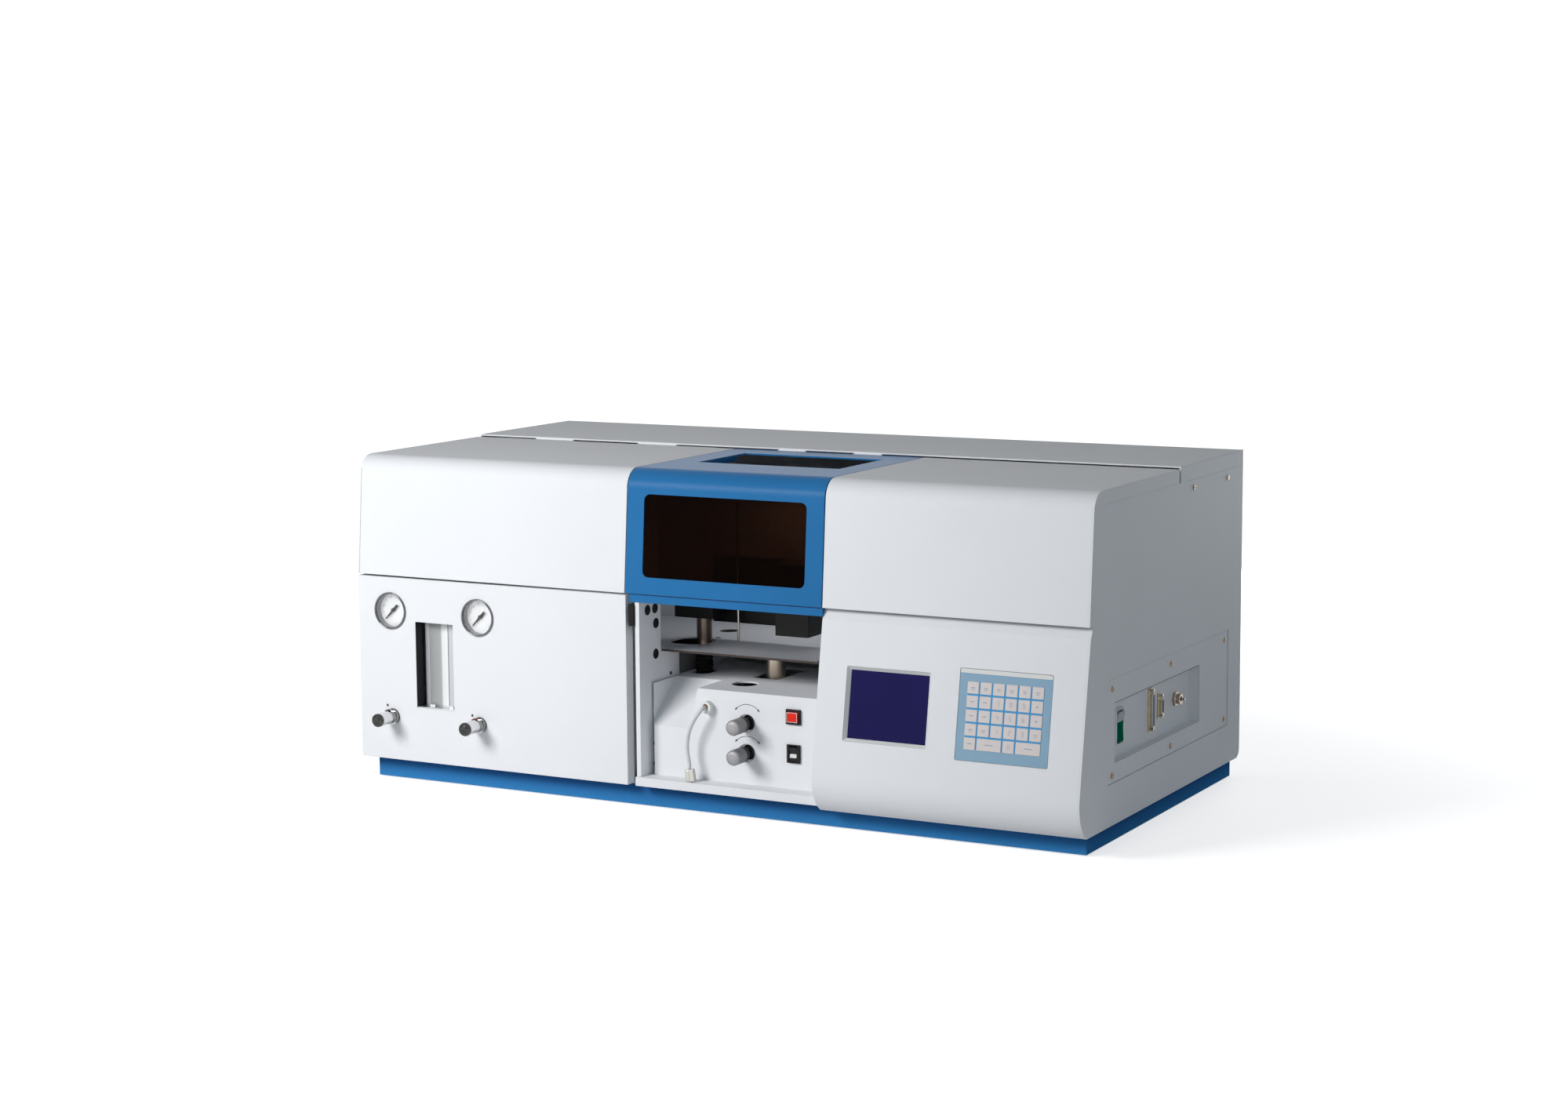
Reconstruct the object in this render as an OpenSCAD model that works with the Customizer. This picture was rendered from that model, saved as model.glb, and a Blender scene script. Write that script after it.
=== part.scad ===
/* [Body] */
// Width of the body over its side panels
body_w = 1020; // [1000:1:1040]
// Depth of the body from the front panels to the rear panel
body_d = 513; // [500:1:530]
// Height to the top of the rear cover
body_h = 427; // [420:1:440]
// Height of the blue base under the body
base_h = 27; // [22:1:32]
// How far the base sits in from the body's sides
base_inset = 11; // [6:1:16]
// Thickness of the sheet metal
sheet = 2; // [1.5:0.1:2.5]
/* [Covers] */
// Height of the line between upper covers and lower panels
split_z = 271; // [266:1:274]
// Lean of the upper covers' front from top to bottom
cover_lean = 10; // [4:1:14]
// Outer radius where the covers' top turns into their front
cover_r = 25; // [18:1:30]
// Depth of the rear top cover
rear_cover_d = 226; // [215:1:235]
// Height of the covers' side skirts
skirt_h = 20; // [15:1:24]
// Gap between neighbouring covers
cover_gap = 1.5; // [1:0.1:2]
/* [Hood] */
// Width of the hood
hood_w = 272; // [264:1:280]
// Middle of the hood, to the right of the body's middle
hood_x = 31; // [25:1:37]
// Width of the hood's front window
window_w = 225; // [215:1:232]
// Height of the hood's front window
window_h = 102; // [96:1:108]
// Rim between the hood's lower edge and the window
window_rim = 21; // [18:1:24]
// Corner radius of the window
window_r = 8; // [5:1:12]
// Height of the sill strip under the hood
sill_h = 10; // [8:1:12]
/* [Display panel] */
// Radius of the roll at the foot of the display panel
belly_r = 48; // [42:1:50]
// Width of the screen
screen_w = 104; // [98:1:110]
// Height of the screen
screen_h = 80; // [74:1:84]
// Width of the keypad
keypad_w = 117; // [110:1:122]
// Height of the keypad
keypad_h = 106; // [100:1:110]
/* [Gas panel] */
// Thickness of the gas panel
gas_panel_t = 16; // [12:1:20]
// Diameter of the pressure gauges
gauge_d = 46; // [44:1:52]
// Distance between the two gauges and between the two valves
gauge_step = 135; // [125:1:145]
// Width of the flowmeter window
flow_w = 58; // [52:1:64]
// Height of the flowmeter window
flow_h = 112; // [104:1:118]
// Length of the gas valves' knobs in front of the panel
knob_reach = 38; // [34:1:44]
/* [Burner] */
// Distance from the front panels to the burner cover's front
burner_set = 25; // [22:1:28]
// Height of the burner cover's top
burner_top = 155; // [154:1:160]
// Height of the rear deck's top
deck_top = 194; // [191:1:197]
// Depth of the burner compartment
chamber_d = 290; // [285:1:295]
// Diameter of the burner's steel tube
tube_d = 24; // [22:1:26]
// Length of the burner head
head_l = 55; // [50:1:60]
// Travel of the burner each way, front to back
depth_travel = 6; // [4:0.5:6]
// Travel of the burner each way, up and down
lift_travel = 8; // [5:0.5:8]
/* [Side] */
// Depth of the connector pocket
pocket_depth = 13; // [11:1:16]
// Diameter of the case screws' heads
screw_d = 7; // [6:0.5:8]
/* [Hidden] */
$fn = 64;
weld = 0.01;
// Places of the main faces
half_w = body_w / 2;
front_y = knob_reach - (body_d + knob_reach) / 2;
rear_y = front_y + body_d;
rear_set = 14;
rear_face = rear_y - rear_set;
cover_top = body_h - 3;
skirt_z = body_h - skirt_h;
hinge_y = rear_y - rear_cover_d - 3;
knuckle_r = 3;
hinge_z = cover_top - knuckle_r;
pin_r = 1.5;
run_gap = 0.05;
hood_left = hood_x - hood_w / 2;
hood_right = hood_x + hood_w / 2;
floor_top = base_h + 3;
lean_angle = atan(cover_lean / (cover_top - cover_r - split_z));
// Display panel: the straight front is tangent to the roll
band_y = front_y + 11;
display_top = split_z - 14;
belly_y = front_y - 28 + belly_r;
belly_z = base_h + 41;
floor_front = belly_y + 2;
display_tip = [front_y + 3, display_top];
tip_span = norm(display_tip - [belly_y, belly_z]);
tip_angle = atan2(display_tip[1] - belly_z, display_tip[0] - belly_y) + acos(belly_r / tip_span);
belly_touch = [belly_y + belly_r * cos(tip_angle), belly_z + belly_r * sin(tip_angle)];
display_mid = (hood_right + half_w) / 2;
screen_x = display_mid - 79;
keypad_x = display_mid + 71;
screen_z = belly_z + 93;
face_angle = atan2(display_tip[0] - belly_touch[0], display_tip[1] - belly_touch[1]);
face_y = belly_touch[0] + (screen_z - belly_touch[1]) * tan(face_angle);
// Gas panel
gas_right = hood_left;
gas_bottom = floor_top;
gas_top = split_z - 2.5;
gauge_x = -half_w + 50;
gauge_z = split_z - 46;
flow_x = gauge_x + gauge_step / 2;
flow_z = gauge_z - 12 - flow_h;
valve_z = base_h + 59.5;
dial_y = front_y + 9;
// Burner compartment
post_right = hood_left + 17;
post_left = post_right - 6;
wall_left = post_right - 140;
cover_left = post_right + 1.2;
wall_right = hood_right - 3;
wall_top = cover_top - 24;
back_y = front_y + chamber_d;
cover_y = front_y + burner_set;
deck_y = front_y + 56;
cover_back = cover_y + 190;
ramp_h = 51.5;
ramp_d = 61;
ramp_lean = 13.5 / ramp_h;
knob_x = hood_x + 19.5;
high_knob_z = base_h + 90;
low_knob_z = base_h + 53;
switch_x = hood_x + 85;
button_z = base_h + 103.5;
rocker_z = base_h + 58;
inlet_x = hood_x - 33.5;
inlet_z = base_h + 106.5;
tube_x = hood_x - 1;
tube_y = cover_y + 114;
neck_x = hood_x - 100.5;
neck_y = cover_y + 108;
beam_z = deck_top + 83;
screw_gap = 0.06;
// Height adjuster: rack and pinion with a pressure angle of 20 degrees
tooth_size = 1;
pinion_teeth = 16;
tooth_play = 0.12;
pinion_d = tooth_size * pinion_teeth;
tooth_pitch = PI * tooth_size;
tooth_half = tooth_pitch / 4 - tooth_play;
tooth_root = 1.25 * tooth_size;
rack_x = knob_x - pinion_d / 2 - tooth_root;
rack_teeth = 10;
plate_z = floor_top + 6;
rail_top = plate_z - 0.3;
lift_z = floor_top + 78;
post_x = neck_x + 52;
carriage_left = cover_left + 15.8;
carriage_front = tube_y - 44;
carriage_back = tube_y + 44;
guide_y = tube_y + 18;
guide_w = 20;
// Rear panel: vents, gas inlets and mains inlet
vent_count = 8;
vent_x = 330;
vent_w = 140;
vent_h = 6;
vent_step = 14;
vent_z = base_h + 223;
gas_count = 3;
gas_step = 40;
gas_x = -half_w + 70;
gas_z = floor_top + 60;
gas_d = 10;
socket_x = half_w - 112;
socket_w = 32;
socket_h = 24;
socket_depth = 16;
// Monochromator and power unit
cast_t = 5;
unit_left = wall_right + sheet + 22.5;
unit_right = half_w - sheet - 39.5;
unit_z = floor_top + 145;
// Lamp turret
lamp_count = 6;
lamp_ring = 45;
turret_z = beam_z - lamp_ring;
turret_x = -half_w + 110;
// Right side fittings
pocket_x = half_w - pocket_depth;
pocket_front = front_y + 80;
pocket_back = front_y + 361;
pocket_low = base_h + 72.5;
pocket_high = base_h + 144;
plate_front = front_y + 58;
plate_back = front_y + 466;
plate_low = base_h + 50;
plate_high = base_h + 174;
switch_y = pocket_front + 33;
port_z = base_h + 110;
rocker_pivot_x = pocket_x + 3;
wide_port_y = pocket_front + 143.5;
small_port_y = pocket_front + 174.5;
toggle_y = pocket_front + 228;
// Sample tube: points by hand from the inlet to the clip
tube_route = [[inlet_x, cover_y - 9, inlet_z], [inlet_x - 1, cover_y - 14.5, inlet_z - 1],
  [inlet_x - 4.5, cover_y - 18, inlet_z - 6], [inlet_x - 11, cover_y - 19, inlet_z - 16],
  [inlet_x - 17, cover_y - 18.5, inlet_z - 28], [inlet_x - 20.5, cover_y - 18, inlet_z - 41],
  [inlet_x - 21, cover_y - 18, inlet_z - 54], [inlet_x - 19, cover_y - 18.5, inlet_z - 64],
  [inlet_x - 17.5, cover_y - 19, inlet_z - 70], [inlet_x - 17.5, cover_y - 19, inlet_z - 76]];
sample_d = 5;
ring_sides = 8;
// Points of the body's side behind the front panels: cover front, top, and round rear corner
side_r = 12;
cover_mid_z = cover_top - cover_r;
cover_mid_y = front_y + (cover_r + sin(lean_angle) * (cover_mid_z - split_z)) / cos(lean_angle);
side_cover = [[front_y, split_z],
  [cover_mid_y - cover_r * cos(lean_angle), cover_mid_z + cover_r * sin(lean_angle)],
  [cover_mid_y - sqrt(pow(cover_r, 2) - pow(skirt_z - cover_mid_z, 2)), skirt_z]];
side_rear = concat([[rear_y, skirt_z]], [for (a = [0 : 15 : 90])
  [rear_y - side_r + side_r * cos(a), base_h + side_r - side_r * sin(a)]]);
belly_low = 180 + asin((belly_z - base_h) / belly_r);
belly_step = (belly_low - tip_angle) / 10;
side_belly = [for (k = [0 : 10])
  [belly_y + belly_r * cos(belly_low - k * belly_step), belly_z + belly_r * sin(belly_low - k * belly_step)]];
// Knuckles of the lid and the hood
lid_right = hood_left - cover_gap;
lid_knuckles = [[-half_w + 30, -half_w + 90], [lid_right - 90, lid_right - 30]];
lid_fixed = [[-half_w + 91, -half_w + 151], [lid_right - 151, lid_right - 91]];
hood_knuckles = [[hood_left + 20, hood_left + 60], [hood_right - 60, hood_right - 20]];
hood_fixed = [[hood_left + 61, hood_left + 101], [hood_right - 101, hood_right - 61]];
// Bores and shafts
flow_bore = 8.6;
flow_front = front_y + gas_panel_t + 3;
shaft_d = 8;
lamp_d = 36;
axle_d = 16;
lever_x = pocket_x + 5;

module box(x0, x1, y0, y1, z0, z1) {
  translate([x0, y0, z0]) cube([x1 - x0, y1 - y0, z1 - z0]);
}
module rod_x(x0, x1, y, z, d) {
  translate([x0, y, z]) rotate([0, 90, 0]) cylinder(d = d, h = x1 - x0);
}
module rod_y(y0, y1, x, z, d) {
  translate([x, y1, z]) rotate([90, 0, 0]) cylinder(d = d, h = y1 - y0);
}
module rod_z(z0, z1, x, y, d) {
  translate([x, y, z0]) cylinder(d = d, h = z1 - z0);
}
// Extrude an outline drawn in depth and height along the width
module along_x(x0, x1) {
  translate([x0, 0, 0]) rotate([90, 0, 90]) linear_extrude(x1 - x0) children();
}
// Extrude an outline drawn in width and height along the depth
module along_y(y0, y1) {
  translate([0, y1, 0]) rotate([90, 0, 0]) linear_extrude(y1 - y0) children();
}
// Extrude an outline drawn in width and depth upwards
module along_z(z0, z1) {
  translate([0, 0, z0]) linear_extrude(z1 - z0) children();
}
// Rectangle between two corners with round corners
module round_rect(x0, x1, z0, z1, r) {
  translate([x0 + r, z0]) square([x1 - x0 - 2 * r, z1 - z0]);
  translate([x0, z0 + r]) square([x1 - x0, z1 - z0 - 2 * r]);
  for (x = [x0 + r, x1 - r], z = [z0 + r, z1 - r]) translate([x, z]) circle(r);
}
// Side view of an upper cover, drawn in by an inset, down to a height and back to a depth
module cover_outline(inset, low, back) {
  r = cover_r - inset;
  foot_y = cover_mid_y - r / cos(lean_angle) - (cover_mid_z - low) * tan(lean_angle);
  polygon([[foot_y, low], [cover_mid_y - r * cos(lean_angle), cover_mid_z + r * sin(lean_angle)],
    [cover_mid_y, cover_mid_z], [cover_mid_y, cover_mid_z + r], [back, cover_mid_z + r], [back, low]]);
  translate([cover_mid_y, cover_mid_z]) circle(r);
}
// Sheet bent over the top and down the front
module cover_sheet(low, back) {
  difference() {
    cover_outline(0, low, back);
    cover_outline(sheet, low - 1, back + 1);
  }
}
// Side view of the display panel, drawn in by an inset
module display_outline(inset, back) {
  r = belly_r - inset;
  touch = [belly_y + r * cos(tip_angle), belly_z + r * sin(tip_angle)];
  tip_y = touch[0] + (display_top - inset - touch[1]) * tan(face_angle);
  low_z = base_h + inset;
  low_y = belly_y - sqrt(r * r - (belly_z - low_z) * (belly_z - low_z));
  polygon([touch, [tip_y, display_top - inset], [back, display_top - inset], [back, low_z],
    [belly_y, low_z], [belly_y, belly_z]]);
  intersection() {
    translate([belly_y, belly_z]) circle(r);
    translate([low_y - belly_r, low_z]) square([belly_y - low_y + belly_r + weld, 2 * belly_r]);
  }
}
module case_screw() {
  difference() {
    cylinder(d = screw_d, h = 1.2);
    for (a = [0, 90]) rotate(a) translate([-screw_d / 3, -0.5, 0.5]) cube([screw_d / 1.5, 1, 1]);
  }
}
module base_plinth() {
  color([0.13, 0.32, 0.62]) difference() {
    box(base_inset - half_w, half_w - base_inset, front_y + 21, rear_y - 4, 1.5, base_h);
    box(base_inset - half_w + sheet, half_w - base_inset - sheet, front_y + 21 + sheet,
      rear_y - 4 - sheet, 0, base_h - sheet);
  }
}
module rubber_feet() {
  color([0.1, 0.1, 0.1])
    for (x = [base_inset + 60 - half_w, half_w - base_inset - 60], y = [front_y + 75, rear_y - 65])
      rod_z(0, base_h - sheet, x, y, 44);
}
module floor_plate() {
  color([0.75, 0.76, 0.78]) {
    box(sheet - half_w, half_w - sheet, floor_front, rear_y - rear_set, base_h, floor_top);
    for (x = [post_x + 10, knob_x - 12])
      box(x - 8, x + 8, carriage_front - depth_travel - 4, carriage_back + depth_travel + 4,
        floor_top, rail_top);
  }
}
module left_side_panel() {
  panel_back = front_y + gas_panel_t;
  color([0.85, 0.86, 0.88]) along_x(-half_w, sheet - half_w)
    polygon(concat([[panel_back, base_h], [panel_back, split_z]], side_cover, side_rear));
}
module right_side_panel() {
  color([0.85, 0.86, 0.88]) difference() {
    along_x(half_w - sheet, half_w)
      polygon(concat(side_belly, [display_tip, [band_y, split_z]], side_cover, side_rear));
    box(half_w - 3, half_w + 1, plate_front, plate_back, plate_low, plate_high);
  }
}
module connector_plate() {
  color([0.85, 0.86, 0.88]) difference() {
    union() {
      box(half_w - sheet, half_w - 0.6, plate_front, plate_back, plate_low, plate_high);
      box(pocket_x - sheet, half_w - sheet, pocket_front - sheet, pocket_back + sheet,
        pocket_low - sheet, pocket_high + sheet);
    }
    difference() {
      box(pocket_x, half_w + 1, pocket_front, pocket_back, pocket_low, pocket_high);
      box(pocket_x - 1, rocker_pivot_x + 3, switch_y - 14, switch_y + 14, port_z - 21.5, port_z + 21.5);
    }
    box(pocket_x, half_w + 1, switch_y - 10, switch_y + 10, port_z - 20, port_z + 20);
    rod_y(switch_y - 12.5, switch_y + 12.5, rocker_pivot_x, port_z, 3 + 2 * run_gap);
  }
}
module case_screws() {
  side_rows = [for (y = [72, 263, 454], z = [plate_low + 9.5, plate_high - 12.5]) [front_y + y, z]];
  top_rows = [[front_y + 333, skirt_z - 10], [front_y + 455, skirt_z - 10]];
  color([0.45, 0.4, 0.33]) {
    for (p = side_rows) translate([half_w - 0.6, p[0], p[1]]) rotate([0, 90, 0]) case_screw();
    for (p = top_rows) translate([half_w, p[0], p[1]]) rotate([0, 90, 0]) case_screw();
    for (p = concat(side_rows, top_rows)) translate([-half_w, p[0], p[1]]) rotate([0, -90, 0]) case_screw();
    for (x = [gas_right - 201, gas_right - 168, gas_right - 9])
      translate([x, front_y + 8, gas_bottom]) rotate([180, 0, 0]) case_screw();
  }
}
module rear_panel() {
  color([0.82, 0.83, 0.85]) difference() {
    box(sheet - half_w, half_w - sheet, rear_face - sheet, rear_face, floor_top, skirt_z);
    for (side = [-1, 1], k = [0 : vent_count - 1])
      box(side * vent_x - vent_w / 2, side * vent_x + vent_w / 2, rear_face - 3, rear_face + 1,
        vent_z + vent_step * k, vent_z + vent_step * k + vent_h);
    for (k = [0 : gas_count - 1]) rod_y(rear_face - 3, rear_face + 1, gas_x + k * gas_step, gas_z, gas_d);
    box(socket_x - socket_w / 2, socket_x + socket_w / 2, rear_face - 3, rear_face + 1,
      gas_z - socket_h / 2, gas_z + socket_h / 2);
  }
}
// Bulkhead fittings with a hexagon plug on each
module gas_inlets() {
  color([0.72, 0.6, 0.3]) for (k = [0 : gas_count - 1]) translate([gas_x + k * gas_step, 0, gas_z]) {
    rod_y(rear_face - sheet - 14, rear_face - sheet, 0, 0, gas_d + 8);
    rod_y(rear_face - sheet - weld, rear_face + weld, 0, 0, gas_d);
    along_y(rear_face, rear_face + 8) circle(d = gas_d + 7, $fn = 6);
    rod_y(rear_face + 8 - weld, rear_y - 1, 0, 0, gas_d);
  }
}
// Mains inlet: a cup with a flange outside the panel and three flat pins inside
module power_inlet() {
  pin_back = rear_face - socket_depth;
  color([0.08, 0.08, 0.09]) {
    difference() {
      union() {
        box(socket_x - socket_w / 2 - 4, socket_x + socket_w / 2 + 4, rear_face, rear_face + 3,
          gas_z - socket_h / 2 - 4, gas_z + socket_h / 2 + 4);
        box(socket_x - socket_w / 2, socket_x + socket_w / 2, pin_back - 3, rear_face + 1,
          gas_z - socket_h / 2, gas_z + socket_h / 2);
      }
      box(socket_x - socket_w / 2 + 2, socket_x + socket_w / 2 - 2, pin_back, rear_face + 4,
        gas_z - socket_h / 2 + 2, gas_z + socket_h / 2 - 2);
    }
    for (p = [[-7, -2], [0, 2], [7, -2]])
      translate([socket_x + p[0], pin_back, gas_z + p[1]]) box(-1, 1, -1, 9, -2, 2);
  }
}
// Knuckles round a hinge pin
module knuckles(spans) {
  for (s = spans) rod_x(s[0], s[1], hinge_y, hinge_z, 2 * knuckle_r);
}
module rear_top_cover() {
  seat_y = hinge_y + knuckle_r + 0.4;
  color([0.86, 0.87, 0.89]) difference() {
    union() {
      difference() {
        box(-half_w, half_w, seat_y, rear_y, skirt_z, body_h);
        box(sheet - half_w, half_w - sheet, seat_y - 1, rear_y - sheet, skirt_z - 1, body_h - sheet);
      }
      knuckles(concat(lid_fixed, hood_fixed));
      for (s = concat(lid_fixed, hood_fixed)) {
        box(s[0], s[1], hinge_y, seat_y + 4, hinge_z, cover_top);
        box(s[0], s[1], seat_y, seat_y + 4, hinge_z, body_h - weld);
      }
    }
    rod_x(-half_w + 1, hood_right, hinge_y, hinge_z, 2 * pin_r);
  }
}
module hinge_pins() {
  color([0.7, 0.7, 0.72]) {
    rod_x(-half_w + 30, lid_right - 30, hinge_y, hinge_z, 2 * pin_r);
    rod_x(hood_left + 20, hood_right - 20, hinge_y, hinge_z, 2 * pin_r);
  }
}
// Room in a lid's edge for a fixed knuckle
module knuckle_room(span) {
  box(span[0] - 0.5, span[1] + 0.5, hinge_y - knuckle_r - 0.5, hinge_y + 1, hinge_z - 5, hinge_z + 5);
}
module lid_bores(x0, x1) {
  rod_x(x0, x1, hinge_y, hinge_z, 2 * (pin_r + run_gap));
}
module lamp_lid() {
  edge = hinge_y - knuckle_r + 1;
  color([0.93, 0.94, 0.95]) difference() {
    union() {
      along_x(-half_w + sheet + 0.5, lid_right) cover_sheet(split_z, edge);
      along_x(-half_w, -half_w + sheet + 0.5) intersection() {
        cover_outline(0, split_z, edge);
        translate([front_y, skirt_z + 0.5]) square([body_d, skirt_h]);
      }
      knuckles(lid_knuckles);
    }
    for (s = lid_knuckles) lid_bores(s[0] - 1, s[1] + 1);
    for (s = lid_fixed) knuckle_room(s);
  }
}
module hood() {
  edge = hinge_y - knuckle_r + 1;
  win_l = hood_x - window_w / 2;
  color([0.13, 0.4, 0.7]) difference() {
    union() {
      along_x(hood_left, hood_right) cover_sheet(split_z, edge);
      for (x = [hood_left, hood_right - sheet]) along_x(x, x + sheet) difference() {
        cover_outline(0, split_z, edge);
        cover_outline(16, split_z - 1, edge + 1);
      }
      knuckles(hood_knuckles);
    }
    along_y(front_y - 5, front_y + 60)
      round_rect(win_l, win_l + window_w, split_z + window_rim, split_z + window_rim + window_h, window_r);
    box(hood_left + 39, hood_right - 35, front_y + 116, front_y + 238, cover_top - 5, cover_top + 5);
    for (s = hood_knuckles) lid_bores(s[0] - 1, s[1] + 1);
    for (s = hood_fixed) knuckle_room(s);
  }
}
module hood_window() {
  rim = 6;
  win_l = hood_x - window_w / 2;
  win_z = split_z + window_rim;
  color([0.25, 0.1, 0.04]) intersection() {
    along_x(hood_left, hood_right) difference() {
      cover_outline(sheet, split_z, rear_y);
      cover_outline(sheet + 3, split_z - 1, rear_y + 1);
    }
    along_y(front_y - 5, front_y + 60)
      round_rect(win_l - rim, win_l + window_w + rim, win_z - rim, win_z + window_h + rim, window_r);
  }
}
module right_top_cover() {
  edge = hinge_y - knuckle_r + 1;
  left = hood_right + cover_gap;
  color([0.93, 0.94, 0.95]) {
    along_x(left, half_w - sheet) cover_sheet(split_z, edge);
    along_x(half_w - sheet - weld, half_w) intersection() {
      cover_outline(0, split_z, edge);
      translate([front_y, skirt_z]) square([body_d, skirt_h]);
    }
    box(left, half_w - sheet, edge - 12, hinge_y + knuckle_r + 8.4, cover_top - 2 * sheet, cover_top - sheet);
  }
}
module hood_sill() {
  color([0.13, 0.4, 0.7])
    box(hood_left + 4, hood_right, front_y + 3, band_y, split_z - 1 - sill_h, split_z - 1);
}
module gas_panel() {
  color([0.93, 0.94, 0.95]) difference() {
    box(-half_w, gas_right, front_y, front_y + gas_panel_t, gas_bottom, gas_top);
    for (k = [0, 1]) {
      rod_y(front_y - 1, front_y + gas_panel_t + 1, gauge_x + k * gauge_step, gauge_z, gauge_d);
      rod_y(front_y - 1, front_y + gas_panel_t + 1, gauge_x + k * gauge_step, valve_z, 14);
    }
    box(flow_x - flow_w / 2, flow_x + flow_w / 2, front_y - 1, front_y + gas_panel_t + 1,
      flow_z, flow_z + flow_h);
  }
}
module display_panel() {
  left = hood_right;
  right = half_w - sheet;
  recess = 6;
  color([0.93, 0.94, 0.95]) difference() {
    union() {
      along_x(left, right) difference() {
        display_outline(0, floor_front);
        display_outline(sheet, floor_front + 1);
      }
      along_x(left, left + sheet) display_outline(0, floor_front);
      along_x(left, right) polygon([display_tip, [band_y, split_z - 1], [band_y + sheet, split_z - 1],
        [band_y + sheet, display_top - 1], [display_tip[0] + sheet, display_top - 1]]);
      intersection() {
        along_x(screen_x - screen_w / 2 - 8, keypad_x + keypad_w / 2 + 6) difference() {
          display_outline(sheet / 2, floor_front);
          display_outline(recess + 2, floor_front + 1);
        }
        box(left, right, front_y - 40, front_y + 30, screen_z - keypad_h / 2 - 6, screen_z + keypad_h / 2 + 6);
      }
    }
    intersection() {
      along_x(left, right) display_outline(-1, floor_front);
      along_y(front_y - 60, front_y + 60)
        round_rect(screen_x - screen_w / 2 - 3, screen_x + screen_w / 2 + 3,
          screen_z - screen_h / 2 - 4, screen_z + screen_h / 2 + 4, 2);
    }
    intersection() {
      along_x(left, right) difference() {
        display_outline(-1, floor_front);
        display_outline(1.2, floor_front + 1);
      }
      along_y(front_y - 60, front_y + 60) round_rect(keypad_x - keypad_w / 2, keypad_x + keypad_w / 2,
        screen_z - keypad_h / 2, screen_z + keypad_h / 2, 2);
    }
  }
}
// A slab that follows the display panel's front between two insets
module display_slab(x_mid, w, h, r, outer, inner) {
  intersection() {
    along_x(x_mid - w / 2, x_mid + w / 2) difference() {
      display_outline(outer, floor_front);
      display_outline(inner, floor_front + 1);
    }
    along_y(front_y - 60, band_y)
      round_rect(x_mid - w / 2, x_mid + w / 2, screen_z - h / 2, screen_z + h / 2, r);
  }
}
module lcd_screen() {
  color([0.12, 0.1, 0.45]) display_slab(screen_x, screen_w + 6, screen_h + 8, 2, 5, 9);
}
module keypad() {
  color([0.66, 0.8, 0.9]) display_slab(keypad_x, keypad_w - 1, keypad_h - 1, 1.5, 0.3, 1.2);
}
module left_wall() {
  low_top = split_z - 1 - sill_h;
  color([0.9, 0.91, 0.93]) difference() {
    union() {
      box(post_left, post_right, front_y + 4, deck_y, floor_top, low_top);
      box(wall_left, post_right, deck_y - sheet, deck_y, floor_top, low_top);
      box(wall_left - sheet, wall_left, deck_y - sheet, back_y, floor_top, wall_top);
      box(post_right - sheet, post_right, deck_y - sheet, back_y, floor_top, deck_top - sheet);
    }
    along_z(burner_top, deck_top) neck_hole();
    for (p = [[24, low_top - 12.5], [42, low_top - 12.5], [44, low_top - 31.5], [43, low_top - 70]])
      rod_x(post_left - 1, post_right + 1, front_y + p[0], p[1], 9);
    rod_x(wall_left - 3, wall_left + 1, neck_y, beam_z, 40);
  }
}
// Right and back walls, one bent sheet
module chamber_wall() {
  color([0.78, 0.79, 0.81]) difference() {
    union() {
      box(wall_right, wall_right + sheet, cover_y, back_y, floor_top, split_z - 20);
      box(wall_right, wall_right + sheet, front_y + 42, back_y, floor_top, wall_top);
      box(wall_left - sheet, wall_right + sheet, back_y, back_y + sheet, floor_top, wall_top);
    }
    rod_x(wall_right - 1, wall_right + sheet + 1, neck_y, beam_z, 40);
  }
}
// Hole in the deck for the burner's neck and its travel
module neck_hole() {
  round_rect(neck_x - 39.5, neck_x + 12.5, neck_y - 32.5, neck_y + 20.5, 20);
}
module rear_deck() {
  color([0.8, 0.81, 0.83]) difference() {
    box(wall_left, wall_right, deck_y, back_y, deck_top - sheet, deck_top);
    along_z(deck_top - 5, deck_top + 1) {
      neck_hole();
      translate([neck_x + 3.5, neck_y + 28.5]) circle(4.5);
      translate([neck_x - 11, neck_y + 83.5]) circle(12.5);
    }
  }
}
// Plan of the burner cover, drawn in by an inset
module cover_plan(inset) {
  left = cover_left + inset;
  right = wall_right - 0.5 - inset;
  front = cover_y + inset;
  back = cover_back + (inset > 0 ? 1 : 0);
  polygon([[left, front + 9], [left + 6, front], [right, front], [right, back], [left, back]]);
}
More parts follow.
